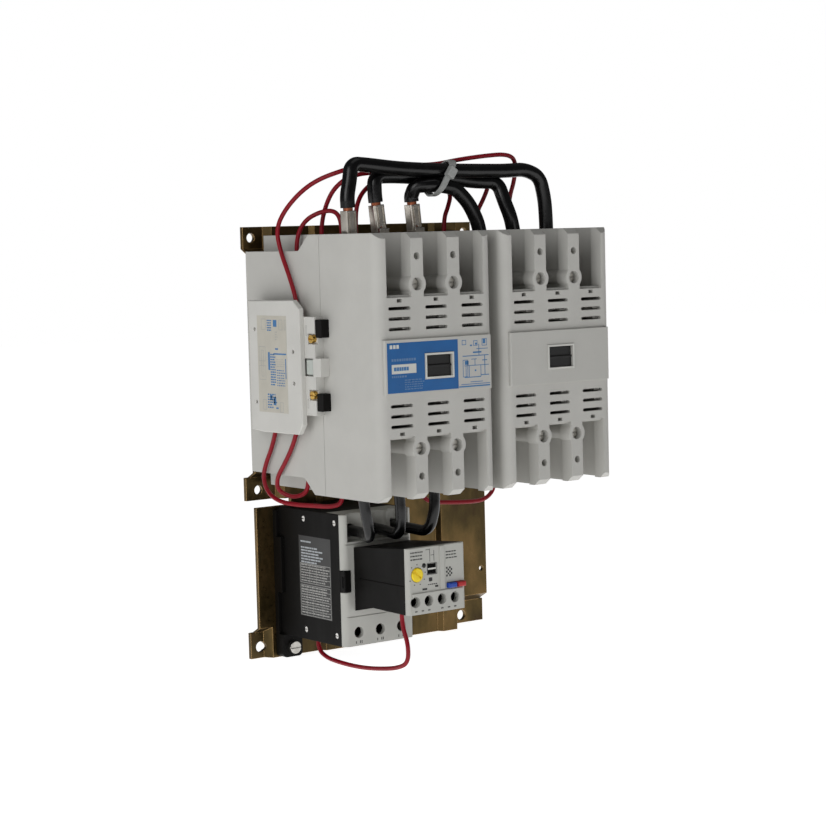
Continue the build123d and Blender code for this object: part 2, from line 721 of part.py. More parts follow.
def relay_cover():
    """Light grey front cover: three rounded cable channels above and three holes below."""
    split = RELAY_X[0] + CHEEK, RELAY_X[1] - CHEEK
    cover = box(split, (-78.3, RELAY_SPLIT), RELAY_Z)
    cover += box(RELAY_X, (RELAY_FRONT, -78.3), RELAY_Z)
    upright = [edge for edge in cover.edges().filter_by(Axis.Z) if edge.center().Y < RELAY_FRONT + 0.5]
    cover = fillet(upright, 3.6)
    cover -= box((split[0] + 2, split[1] - 2), (-79.5, RELAY_SPLIT), (RELAY_Z[0] + 2.5, -158))
    cover -= box((split[0] + 2, split[1] - 2), (-79.5, RELAY_SPLIT), (-155, -112.5))
    for x in relay_entries():
        cover -= rod_z(x, RELAY_FRONT + 0.6, (-108.8, -90), 7.0)
        cover -= rod_y(x, ENTRY_Z, (-90, RELAY_SPLIT), 4.2)
        cover -= rod_y(x, LOAD_Z, (-90, RELAY_SPLIT), 3.5)
    for z in (-110.3, -155.8):
        cover -= box((RELAY_X[0] - 1, RELAY_X[1] + 1), (RELAY_FRONT - 1, RELAY_FRONT + 0.5), (z - 0.3, z + 0.3))
    latch = box((RELAY_X[0] - 1, -72.6), (RELAY_FRONT - 1, -78.3), (-140.3, -126.3))
    return cover - latch


def relay_latch():
    """Black latch tab that hooks over the left edge of the cover."""
    tab = box((RELAY_X[0], -72.9), (RELAY_FRONT - 0.8, -78.6), (-140, -126.6))
    front = [edge for edge in tab.edges() if edge.center().Y < RELAY_FRONT]
    tab = fillet(front, 0.7)
    return tab - box((RELAY_X[0] - 1, RELAY_X[0] + 0.5), (-82.2, -80.6), (-137, -130))


def module_case():
    """Black housing of the electronic module, flared where it meets the cover."""
    outline = [
        (RELAY_FRONT, -152.2),
        (-101.0, -148.2),
        (MODULE_FRONT, MODULE_Z[0]),
        (MODULE_FRONT, MODULE_Z[1]),
        (RELAY_FRONT, -112.3),
    ]
    case = prism_x(outline, MODULE_X)
    hollow = box((MODULE_X[0] + 2, MODULE_X[1] - 2), (MODULE_FRONT - 1, -86), (-146, -114.8))
    case -= hollow
    case -= box((TEST_AT[0] - 3.5, MODULE_X[1] + 1), (MODULE_FRONT - 1, MODULE_FRONT + 4), (-135.2, -131.6))
    case -= box((MODULE_X[0] - 1, MODULE_X[0] + 0.4), (MODULE_FRONT, -88), (-131.4, -130.8))
    return case


def module_face():
    """Grey front plate of the module, with its dial well, buttons and control terminals."""
    face = box(MODULE_X, (FACE_FRONT, MODULE_FRONT), MODULE_Z)
    upright = [edge for edge in face.edges().filter_by(Axis.Z) if edge.center().Y < FACE_FRONT + 1]
    face = fillet(upright, 2.2)
    face += box((-46.0, -42.4), (FACE_FRONT - 0.7, FACE_FRONT), (-135.0, MODULE_Z[1] - 0.3))
    face += box((MODULE_X[0] + 2.4, MODULE_X[1] - 2.4), (FACE_FRONT - 0.9, FACE_FRONT), (MODULE_Z[0] + 0.6, -135.8))
    face -= rod_y(*DIAL_AT, (FACE_FRONT - 2, MODULE_FRONT + 1), 4.6)
    for x in CONTROL_X:
        face -= rod_y(x, -141.0, (FACE_FRONT - 2, MODULE_FRONT + 1), 3.3)
    face -= rod_y(-57.8, -119.3, (FACE_FRONT - 1, MODULE_FRONT + 1), 1.0)
    face -= rod_y(-53.0, -128.3, (FACE_FRONT - 1, FACE_FRONT + 1), 1.3)
    face -= box((-55.2, -48.2), (FACE_FRONT - 1, MODULE_FRONT + 1), (-125.0, -118.6))
    face -= box((RESET_AT[0] - 3.5, MODULE_X[1] + 1), (FACE_FRONT - 1, MODULE_FRONT + 1), (-135.2, -131.6))
    return max(face.solids(), key=lambda solid: solid.volume)


def dial():
    """Current setting dial with a screwdriver slot and a pointer notch."""
    x, z = DIAL_AT
    knob = rod_y(x, z, (FACE_FRONT - 0.9, MODULE_FRONT + 1.5), 4.3)
    knob = chamfer(knob.edges().filter_by(GeomType.CIRCLE).sort_by(Axis.Y)[0], 0.5)
    slot = Pos(x, FACE_FRONT - 0.9, z) * Rot(0, 40, 0) * Box(6.4, 1.8, 1.1)
    notch_cut = Pos(x, FACE_FRONT - 0.9, z) * Rot(0, 40, 0) * Pos(-3.4, 0, 0) * Box(1.6, 1.8, 2.4)
    return knob - slot - notch_cut


def push_button(at, half_x):
    """Rounded cap that slides in the module's button slot."""
    x, z = at
    cap = box((x - half_x, x + half_x), (FACE_FRONT - 2.4, MODULE_FRONT + 2.0), (z - 1.5, z + 1.5))
    front = [edge for edge in cap.edges() if edge.center().Y < FACE_FRONT - 2.3]
    return fillet(front, 0.7)


def dip_switches():
    """Black switch block with two rows of small sliders."""
    block = box((-54.9, -48.5), (FACE_FRONT + 0.6, MODULE_FRONT + 2), (-124.7, -118.9))
    for z in (-120.4, -123.2):
        block -= box((-54.4, -49.0), (FACE_FRONT, FACE_FRONT + 1.6), (z - 0.7, z + 0.7))
        for step in range(4):
            x = -53.7 + 1.35 * step
            up = 0.25 if step % 2 else -0.25
            block += box((x - 0.4, x + 0.4), (FACE_FRONT + 0.2, FACE_FRONT + 1.7), (z + up - 0.4, z + up + 0.4))
    return block


def circuit_board():
    """Board inside the module, with its controller, capacitors and control terminals' lands."""
    board = box((MODULE_X[0] + 3, MODULE_X[1] - 3), (-120.0, -118.4), (-145.5, -115.4))
    board += box((-54, -42), (-122.2, -120.0), (-132, -120))
    for x in (-62.0, -36.0):
        board += rod_y(x, -120.5, (-127.0, -120.0), 3.0)
    return board


def control_terminals():
    """Four control terminals: a brass cage with its screw, behind the holes of the face."""
    shapes = []
    for x in CONTROL_X:
        cage = box((x - 2.7, x + 2.7), (-127.5, -121.5), (-144.2, -137.8))
        cage += rod_y(x, -141.0, (-130.0, -127.5), 2.5)
        cage -= box((x - 2.6, x + 2.6), (-130.5, -129.0), (-141.4, -140.6))
        shapes.append(cage.solid())
    return Compound(children=shapes)


def relay_conductors():
    """Copper bars through the relay from the cable entries to the load terminals."""
    shapes = []
    for x in relay_entries():
        bar = box((x - 4, x + 4), (RELAY_SPLIT, RELAY_SPLIT + 6), (-107.0, -98.0))
        bar += box((x - 4, x + 4), (RELAY_SPLIT + 3, RELAY_SPLIT + 6), (-170.5, -98.0))
        bar += box((x - 4.5, x + 4.5), (-70.0, RELAY_SPLIT + 6), (-170.5, -161.5))
        bar -= rod_y(x, LOAD_Z, (-71, RELAY_SPLIT - 1), 3.0)
        shapes.append(bar.solid())
    return Compound(children=shapes)


def current_transformers():
    """One ring core round each conductor."""
    shapes = []
    for x in relay_entries():
        ring = rod_z(x, RELAY_SPLIT + 4.5, (-142, -124), 7.9)
        ring -= box((x - 4.3, x + 4.3), (RELAY_SPLIT + 2.5, RELAY_SPLIT + 6.5), (-143, -123))
        ring &= box((x - 7.9, x + 7.9), (RELAY_SPLIT + 0.2, RELAY_SPLIT + 12.4), (-143, -123))
        shapes.append(ring.solid())
    return Compound(children=shapes)


def relay_side_screws():
    """Small screws that hold the left cheek."""
    shapes = []
    for y in (-39.5, -73.0):
        for z in (-97.3, -168.3):
            head = rod_x(y, z, (RELAY_X[0] + 0.3, RELAY_X[0] + CHEEK), 1.85)
            head -= box((RELAY_X[0], RELAY_X[0] + 0.9), (y - 2, y + 2), (z - 0.3, z + 0.3))
            shapes.append(head.solid())
    return Compound(children=shapes)


def relay_foot():
    """Black mounting foot: fills the channel under the relay and takes the fixing screw."""
    foot = box((-80.5, -46.5), (PLATEAU_FRONT, CHANNEL_FRONT), (-176.0, -94.0))
    tab = box((-80.5, -65.5), (-16.5, CHANNEL_FRONT), (-189.6, -174.5))
    tab = fillet(tab.edges().filter_by(Axis.Y).sort_by(Axis.Z)[:2], 3)
    foot += tab
    foot += box((-80.5, RELAY_X[0]), (-17.0, PLATEAU_FRONT), (-147.0, -111.0))
    foot -= rod_y(-72.6, -183.3, (-18, -8), 2.1)
    return foot


def foot_screw():
    return slotted_screw_y(-72.6, -183.3, -19.7, CHANNEL_FRONT, 4.1, 3.2, 2.1)


# ---------------------------------------------------------------- auxiliary contact block

def aux_body():
    """White contact block against the side of the left contactor."""
    outline = [
        (-30.0, -27.4),
        (-95.0, -27.4),
        (-95.0, -3.6),
        (-100.6, -3.6),
        (-100.6, 7.6),
        (-95.0, 7.6),
        (-95.0, 32.6),
        (-30.0, 32.6),
    ]
    body = prism_x(outline, (AUX_BODY, AUX_INNER))
    body -= box((AUX_BODY - 1, AUX_BODY + 3.0), (-92.4, -79.4), (-3.4, 7.4))
    for z in (19.3, -14.9):
        body -= box((AUX_BODY - 1, AUX_BODY + 2.2), (-95.5, -88.0), (z - 3.2, z + 3.2))
        body -= rod_x(-91.4, z, (AUX_BODY, AUX_BODY + 5.0), 1.3)
    return body


def aux_plate():
    """Off-white label plate with cut front corners and four small holes."""
    outline = [
        (-28.0, 42.2),
        (-77.0, 42.8),
        (-83.8, 37.6),
        (-84.6, -33.0),
        (-79.8, -39.4),
        (-41.0, -39.6),
        (-28.2, -38.4),
    ]
    plate = prism_x(outline, (AUX_PLATE, AUX_BODY))
    for y, z in ((-34.6, 24.4), (-76.4, 11.3), (-76.6, -8.1), (-34.9, -21.0)):
        plate -= rod_x(y, z, (AUX_PLATE - 1, AUX_BODY + 1), 1.2)
    outer = [edge for edge in plate.edges() if abs(edge.center().X - AUX_PLATE) < 0.01 and edge.length > 5]
    return chamfer([edge for edge in outer if edge.geom_type == GeomType.LINE], 0.5)


def aux_screws():
    """Brass terminal screws of the contact block."""
    shapes = []
    for z in (19.3, -14.9):
        screw = rod_x(-91.4, z, (AUX_BODY - 0.6, AUX_BODY + 2.2), 2.5)
        screw += rod_x(-91.4, z, (AUX_BODY + 2.2, AUX_BODY + 5.0), 1.3)
        screw -= box((AUX_BODY - 1, AUX_BODY + 0.4), (-94, -89), (z - 0.4, z + 0.4))
        shapes.append(screw.solid())
    return Compound(children=shapes)


def aux_clips():
    """Black spring clips that hook the block to the case."""
    shapes = []
    for z in ((20.0, 31.0), (-24.6, -13.8)):
        clip = box((AUX_BODY + 0.6, AUX_INNER), (-101.4, -95.0), z)
        shapes.append(fillet(clip.edges().filter_by(Axis.X), 0.8).solid())
    return Compound(children=shapes)


def aux_plunger():
    """Translucent grey actuator that follows the crosshead in the block's recess."""
    slider = box((AUX_BODY + 0.4, AUX_BODY + 2.8), (-91.6, -84.8), (-2.6, 6.6))
    outer = [edge for edge in slider.edges() if edge.center().X < AUX_BODY + 0.5]
    return fillet(outer, 0.5)


# ---------------------------------------------------------------- control wires

WIRE_ROUTES = {
    "wire_aux_crossover": [
        (-100.4, -73.0, 32.6),
        (-100.4, -73.0, 40.0),
        (-99.8, -65.0, 56.0),
        (-99.6, -55.0, 72.5),
        (-99.8, -51.5, 86.0),
        (-97.4, -57.0, 97.0),
        (-91.0, -66.0, 108.5),
        (-84.6, -76.5, 115.8),
        (-74.5, -87.0, 120.6),
        (-60.0, -91.4, 124.6),
        (-40.0, -92.0, 124.6),
        (-22.0, -91.4, 123.8),
        (-6.0, -92.6, 124.0),
        (8.0, -98.0, 126.8),
        (26.0, -101.6, 129.0),
        (44.0, -102.6, 130.2),
        (54.0, -99.6, 126.4),
        (57.0, -94.4, 114.0),
        (55.2, -91.0, 103.0),
        (56.0, -88.6, 90.6),
        (56.0, -88.6, CASE_TOP),
    ],
    "wire_coil_left": [
        (-88.0, -56.0, CASE_TOP - NOTCH_DEPTH),
        (-88.0, -56.0, 80.4),
        (-84.2, -60.0, 91.2),
        (-77.0, -68.0, 96.4),
        (-72.6, -76.6, 96.6),
        (-72.0, -82.0, 90.0),
        (-72.0, -82.0, CASE_TOP),
    ],
    "wire_line_crossover": [
        (-72.0, -60.6, CASE_TOP),
        (-72.0, -60.6, 89.0),
        (-71.0, -65.0, 101.0),
        (-70.0, -72.0, 110.0),
        (-66.0, -80.5, 116.6),
        (-56.0, -84.6, 119.2),
        (-42.0, -85.2, 119.4),
        (-24.0, -86.0, 118.8),
        (-8.0, -87.0, 120.4),
        (8.0, -90.0, 122.0),
        (22.0, -92.4, 123.0),
        (32.0, -94.0, 121.0),
        (37.0, -93.0, 112.0),
        (34.6, -90.6, 103.0),
        (29.0, -88.6, 92.6),
        (29.0, -88.6, CASE_TOP),
    ],
    "wire_phase_link": [
        (-66.0, -88.6, CASE_TOP),
        (-66.0, -88.6, 90.0),
        (-65.0, -88.4, 98.6),
        (-60.0, -87.4, 107.0),
        (-50.6, -86.4, 113.2),
        (-38.0, -86.0, 115.4),
        (-24.0, -85.6, 115.2),
        (-10.0, -85.4, 114.6),
        (1.6, -86.4, 113.6),
        (9.8, -88.0, 106.2),
        (6.6, -88.6, 97.6),
        (3.0, -88.4, 90.2),
        (3.0, -88.4, CASE_TOP),
    ],
    "wire_aux_return_a": [
        (-100.4, -46.6, -27.4),
        (-100.4, -46.6, -36.0),
        (-100.2, -40.0, -50.0),
        (-100.2, -32.6, -60.5),
        (-100.4, -29.0, -70.0),
        (-100.2, -33.6, -79.0),
        (-99.0, -44.0, -84.0),
        (-93.6, -56.0, -85.6),
        (-87.0, -66.6, -86.0),
        (-81.0, -74.4, -86.6),
        (-75.6, -80.4, -84.4),
        (-75.6, -80.4, CASE_BOTTOM),
    ],
    "wire_aux_return_b": [
        (-100.4, -69.6, -27.4),
        (-100.4, -69.6, -36.0),
        (-100.0, -62.4, -48.5),
        (-99.8, -53.0, -59.5),
        (-99.6, -43.6, -69.0),
        (-97.4, -40.6, -77.2),
        (-92.6, -48.0, -81.6),
        (-88.0, -56.0, -80.0),
        (-87.0, -60.0, -74.2),
        (-87.0, -60.0, CASE_BOTTOM + NOTCH_DEPTH),
    ],
    "wire_load_link": [
        (-17.0, -84.0, CASE_BOTTOM),
        (-17.0, -84.0, -84.0),
        (-11.4, -84.4, -89.2),
        (2.0, -85.6, -90.6),
        (17.0, -87.6, -91.6),
        (30.0, -87.0, -91.8),
        (38.0, -85.8, -89.0),
        (43.0, -84.2, -83.6),
        (43.0, -84.2, CASE_BOTTOM),
    ],
    "wire_relay_trip": [
        (-68.0, -128.0, MODULE_Z[0]),
        (-68.0, -128.0, -156.0),
        (-67.8, -133.4, -167.0),
        (-67.6, -132.6, -178.6),
        (-67.6, -121.5, -183.2),
        (-67.8, -106.0, -185.8),
        (-67.8, -90.0, -187.6),
        (-68.0, -75.0, -188.2),
        (-68.2, -60.0, -187.8),
        (-68.4, -47.5, -186.6),
        (-68.4, -38.4, -182.4),
        (-68.4, -38.4, RELAY_Z[0]),
    ],
}


def build():
    os.makedirs("parts", exist_ok=True)
    save("base_plate", base_plate())
    for side, centre in CENTRES.items():
        save(f"{side}_contactor_base", contactor_base(centre))
        save(f"{side}_contactor_cover", contactor_cover(centre))
        save(f"{side}_front_panel", front_panel(centre))
        save(f"{side}_crosshead", crosshead(centre))
        save(f"{side}_bridge_contacts", bridge_contacts(centre))
        save(f"{side}_armature", armature(centre))
        save(f"{side}_return_springs", return_springs(centre))
    save("fixed_contacts", on_both(fixed_contacts))
    save("magnet_cores", on_both(magnet_core))
    save("coils", on_both(coil))
    save("arc_chutes", on_both(arc_chutes))
    save("terminal_clamps", terminal_clamps())
    save("line_box_lugs", box_lugs())
    save("terminal_screws", terminal_screws())
    save("cover_screws", cover_screws())
    save("bare_conductors", bare_conductors())
    for name, points in POWER_ROUTES.items():
        solid, path, radii = tube(points, LOAD_CABLE_R if "load" in name else CABLE_R)
        print(name, "length", round(path.length, 1), "radii", [round(value, 1) for value in radii])
        save(name, solid)
    save("cable_tie", cable_tie())
    save("relay_case", relay_case())
    save("relay_cover", relay_cover())
    save("relay_latch", relay_latch())
    save("relay_module_case", module_case())
    save("relay_module_face", module_face())
    save("setting_dial", dial())
    save("reset_button", push_button(RESET_AT, 3.2))
    save("test_button", push_button(TEST_AT, 3.1))
    save("dip_switches", dip_switches())
    save("relay_circuit_board", circuit_board())
    save("control_terminals", control_terminals())
    save("relay_conductors", relay_conductors())
    save("current_transformers", current_transformers())
    save("relay_side_screws", relay_side_screws())
    save("relay_foot", relay_foot())
    save("foot_screw", foot_screw())
    save("aux_body", aux_body())
    save("aux_plate", aux_plate())
    save("aux_screws", aux_screws())
    save("aux_clips", aux_clips())
    save("aux_plunger", aux_plunger())
    for name, points in WIRE_ROUTES.items():
        solid, path, radii = tube(points, WIRE_R)
        ideal = math.pi * WIRE_R ** 2 * path.length
        print(name, "length", round(path.length, 1), "volume ratio", round(solid.volume / ideal, 4))
        print("   radii", [round(value, 1) for value in radii])
        save(name, solid)
    print(len(PARTS), "nodes")


build()
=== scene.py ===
import math
import random

import bmesh
import bpy
from mathutils import Matrix, Vector


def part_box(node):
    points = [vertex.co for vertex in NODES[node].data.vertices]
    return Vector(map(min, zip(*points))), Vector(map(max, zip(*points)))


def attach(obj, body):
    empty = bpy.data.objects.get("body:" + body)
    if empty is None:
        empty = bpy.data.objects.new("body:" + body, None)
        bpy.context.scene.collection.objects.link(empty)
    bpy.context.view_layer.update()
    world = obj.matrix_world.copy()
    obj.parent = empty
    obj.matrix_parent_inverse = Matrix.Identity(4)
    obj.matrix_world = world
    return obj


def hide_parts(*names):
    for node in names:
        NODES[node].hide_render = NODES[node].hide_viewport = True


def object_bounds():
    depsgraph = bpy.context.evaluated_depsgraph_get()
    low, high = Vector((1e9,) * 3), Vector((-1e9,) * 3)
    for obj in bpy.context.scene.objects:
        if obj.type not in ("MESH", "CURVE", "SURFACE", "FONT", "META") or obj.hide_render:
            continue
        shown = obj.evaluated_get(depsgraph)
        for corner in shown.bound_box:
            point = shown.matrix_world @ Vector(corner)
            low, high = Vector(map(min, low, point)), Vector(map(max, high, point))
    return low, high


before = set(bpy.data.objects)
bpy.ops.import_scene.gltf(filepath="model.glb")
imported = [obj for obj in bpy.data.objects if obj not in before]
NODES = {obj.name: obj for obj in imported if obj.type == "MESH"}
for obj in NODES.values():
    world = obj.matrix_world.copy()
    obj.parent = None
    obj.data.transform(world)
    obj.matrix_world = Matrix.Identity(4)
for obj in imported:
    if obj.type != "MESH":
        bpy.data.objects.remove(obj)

CAD_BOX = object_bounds()
MM = 0.001
# Radius that an edge seems to have, in metres
PLASTIC_EDGE = 0.0005
METAL_EDGE = 0.0003
PLATE_EDGE = 0.0006


# ------------------------------------------------------------------ materials

def srgb(r, g, b):
    """Linear colour from 0-255 display values."""
    def one(c):
        c = c / 255
        return c / 12.92 if c <= 0.04045 else ((c + 0.055) / 1.055) ** 2.4
    return (one(r), one(g), one(b), 1.0)


def shade(colour, gain, lift=0.0):
    """A colour made darker or paler."""
    return tuple(min(1, c * gain + lift) for c in colour[:3]) + (1.0,)


def new_material(name):
    mat = bpy.data.materials.new(name)
    mat.use_nodes = True
    tree = mat.node_tree
    tree.nodes.clear()
    out = tree.nodes.new("ShaderNodeOutputMaterial")
    bsdf = tree.nodes.new("ShaderNodeBsdfPrincipled")
    tree.links.new(bsdf.outputs["BSDF"], out.inputs["Surface"])
    return mat, tree, bsdf


def add(tree, kind, **values):
    """New node; keyword names are properties, or sockets when written with a leading i_."""
    node = tree.nodes.new(kind)
    for key, value in values.items():
        if key.startswith("i_"):
            node.inputs[key[2:].replace("_", " ")].default_value = value
        else:
            setattr(node, key, value)
    return node


def coords(tree, scale=(1, 1, 1)):
    where = add(tree, "ShaderNodeTexCoord")
    mapping = add(tree, "ShaderNodeMapping")
    mapping.inputs["Scale"].default_value = scale
    tree.links.new(where.outputs["Object"], mapping.inputs["Vector"])
    return mapping.outputs["Vector"]


def noise(tree, vector, scale, detail=3.0, rough=0.55):
    node = add(tree, "ShaderNodeTexNoise", i_Scale=scale, i_Detail=detail, i_Roughness=rough)
    tree.links.new(vector, node.inputs["Vector"])
    return node.outputs["Fac"]


def ramp(tree, value, low, high, a=0.0, b=1.0):
    node = add(tree, "ShaderNodeMapRange", clamp=True)
    tree.links.new(value, node.inputs["Value"])
    for key, number in (("From Min", low), ("From Max", high), ("To Min", a), ("To Max", b)):
        node.inputs[key].default_value = number
    return node.outputs["Result"]


def feed(tree, socket, value):
    """Sets a socket to a constant, or links it to another node's output."""
    if isinstance(value, (float, int, tuple)):
        socket.default_value = value
    else:
        tree.links.new(value, socket)


def mix(tree, fac, a, b):
    node = add(tree, "ShaderNodeMix", data_type="RGBA")
    for socket, value in ((node.inputs[0], fac), (node.inputs[6], a), (node.inputs[7], b)):
        feed(tree, socket, value)
    return node.outputs[2]


def math_node(tree, operation, a, b):
    node = add(tree, "ShaderNodeMath", operation=operation)
    feed(tree, node.inputs[0], a)
    feed(tree, node.inputs[1], b)
    return node.outputs[0]


def edge_mask(tree, radius):
    """1 near an edge, 0 on flat faces, with the rounded normal that shows the edge's small radius."""
    bevel = add(tree, "ShaderNodeBevel", samples=4, i_Radius=radius)
    geometry = add(tree, "ShaderNodeNewGeometry")
    dot = add(tree, "ShaderNodeVectorMath", operation="DOT_PRODUCT")
    tree.links.new(bevel.outputs["Normal"], dot.inputs[0])
    tree.links.new(geometry.outputs["Normal"], dot.inputs[1])
    return ramp(tree, dot.outputs["Value"], 0.995, 0.82), bevel.outputs["Normal"]


def bump(tree, height, distance, strength, normal=None):
    node = add(tree, "ShaderNodeBump", i_Strength=strength, i_Distance=distance)
    tree.links.new(height, node.inputs["Height"])
    if normal is not None:
        tree.links.new(normal, node.inputs["Normal"])
    return node.outputs["Normal"]


def plastic(name, colour, rough=0.5, grain=2600.0, bump_mm=0.012, mottle=0.05, dust=0.10, wear=0.25,
            specular=0.4):
    """Moulded plastic: fine spark-eroded grain, faint flow mottling, dust and paler, worn edges."""
    mat, tree, bsdf = new_material(name)
    vector = coords(tree)
    fine = noise(tree, vector, grain, 2.0)
    broad = noise(tree, vector, 38.0, 4.0)
    flow = noise(tree, coords(tree, (1, 1, 0.25)), 120.0, 3.0)
    edge, rounded = edge_mask(tree, PLASTIC_EDGE)
    dark, pale = shade(colour, 1 - mottle * 2), shade(colour, 1 + mottle * 2)
    base = mix(tree, ramp(tree, broad, 0.3, 0.7), dark, pale)
    specks = ramp(tree, fine, 0.60, 0.72)
    base = mix(tree, math_node(tree, "MULTIPLY", specks, dust), base, shade(colour, 0.6))
    handled = math_node(tree, "MULTIPLY", ramp(tree, flow, 0.35, 0.6), wear)
    base = mix(tree, math_node(tree, "MULTIPLY", edge, handled), base, shade(colour, 1.25, 0.02))
    tree.links.new(base, bsdf.inputs["Base Color"])
    tree.links.new(ramp(tree, flow, 0.2, 0.8, rough - 0.07, rough + 0.09), bsdf.inputs["Roughness"])
    tree.links.new(bump(tree, fine, bump_mm * MM, 0.5, rounded), bsdf.inputs["Normal"])
    bsdf.inputs["Specular IOR Level"].default_value = specular
    return mat


def metal(name, colour, second, rough=0.3, brush=(1, 1, 1), scale=900.0, bump_mm=0.01, metallic=1.0):
    """Bare or plated metal: brushed or rolled grain, patches of tarnish and brighter edges."""
    mat, tree, bsdf = new_material(name)
    grain = noise(tree, coords(tree, brush), scale, 3.0)
    patch = noise(tree, coords(tree), 170.0, 5.0, 0.6)
    edge, rounded = edge_mask(tree, METAL_EDGE)
    base = mix(tree, ramp(tree, patch, 0.42, 0.72, 0.0, 0.35), colour, second)
    base = mix(tree, math_node(tree, "MULTIPLY", edge, 0.5), base, shade(colour, 1.25, 0.03))
    tree.links.new(base, bsdf.inputs["Base Color"])
    bsdf.inputs["Metallic"].default_value = metallic
    grain_part = math_node(tree, "MULTIPLY", grain, 0.18)
    mixed = math_node(tree, "ADD", grain_part, math_node(tree, "MULTIPLY", patch, 0.16))
    tree.links.new(ramp(tree, mixed, 0.05, 0.30, rough - 0.10, rough + 0.12), bsdf.inputs["Roughness"])
    tree.links.new(bump(tree, grain, bump_mm * MM, 0.6, rounded), bsdf.inputs["Normal"])
    return mat


def zinc_yellow():
    """Yellow-passivated zinc: iridescent straw, olive and violet drifts over rolled steel."""
    mat, tree, bsdf = new_material("zinc_yellow")
    vector = coords(tree, (1, 1, 0.45))
    drift = noise(tree, vector, 26.0, 4.0, 0.6)
    fine = noise(tree, coords(tree), 420.0, 4.0, 0.6)
    rolled = noise(tree, coords(tree, (0.08, 1, 1)), 1500.0, 2.0)
    bands = add(tree, "ShaderNodeValToRGB")
    drift = math_node(tree, "ADD", drift, math_node(tree, "MULTIPLY", fine, 0.10))
    tree.links.new(drift, bands.inputs["Fac"])
    stops = [
        (0.32, srgb(58, 42, 32)),
        (0.44, srgb(74, 62, 38)),
        (0.52, srgb(92, 76, 46)),
        (0.60, srgb(112, 90, 56)),
        (0.70, srgb(80, 72, 48)),
        (0.80, srgb(72, 50, 44)),
    ]
    elements = bands.color_ramp.elements
    elements[0].position, elements[0].color = stops[0]
    elements[1].position, elements[1].color = stops[-1]
    for position, colour in stops[1:-1]:
        elements.new(position).color = colour
    edge, rounded = edge_mask(tree, PLATE_EDGE)
    # Pale straw on edges and folds: partly bare metal where the coating is rubbed, partly a painted
    # highlight along the bright folds
    bare_and_highlight = math_node(tree, "MULTIPLY", edge, 0.8)
    base = mix(tree, bare_and_highlight, bands.outputs["Color"], srgb(226, 184, 124))
    tree.links.new(base, bsdf.inputs["Base Color"])
    bsdf.inputs["Metallic"].default_value = 0.92
    tree.links.new(ramp(tree, fine, 0.3, 0.7, 0.26, 0.42), bsdf.inputs["Roughness"])
    tree.links.new(bump(tree, rolled, 0.012 * MM, 0.5, rounded), bsdf.inputs["Normal"])
    return mat


def printed(name, colour, rough=0.38):
    """Printed label film or ink: slightly uneven ink on a satin film."""
    mat, tree, bsdf = new_material(name)
    vector = coords(tree)
    fine = noise(tree, vector, 3000.0, 2.0)
    broad = noise(tree, vector, 90.0, 3.0)
    base = mix(tree, ramp(tree, broad, 0.3, 0.7), shade(colour, 0.88), colour)
    base = mix(tree, ramp(tree, fine, 0.62, 0.75, 0.0, 0.18), base, shade(colour, 1.2, 0.02))
    tree.links.new(base, bsdf.inputs["Base Color"])
    tree.links.new(ramp(tree, broad, 0.2, 0.8, rough - 0.05, rough + 0.08), bsdf.inputs["Roughness"])
    tree.links.new(bump(tree, fine, 0.004 * MM, 0.4), bsdf.inputs["Normal"])
    return mat


def pvc(name, colour, rough=0.4, bump_mm=0.010, specular=0.4):
    """Extruded PVC: long drawing marks, faint dust and scuffs."""
    mat, tree, bsdf = new_material(name)
    vector = coords(tree)
    drawn = noise(tree, vector, 520.0, 3.0)
    scuff = noise(tree, vector, 150.0, 5.0, 0.65)
    base = mix(tree, ramp(tree, scuff, 0.5, 0.75, 0.0, 0.5), colour, shade(colour, 1.4, 0.004))
    tree.links.new(base, bsdf.inputs["Base Color"])
    tree.links.new(ramp(tree, scuff, 0.3, 0.7, rough - 0.03, rough + 0.07), bsdf.inputs["Roughness"])
    tree.links.new(bump(tree, drawn, bump_mm * MM, 0.3), bsdf.inputs["Normal"])
    bsdf.inputs["Specular IOR Level"].default_value = specular
    return mat


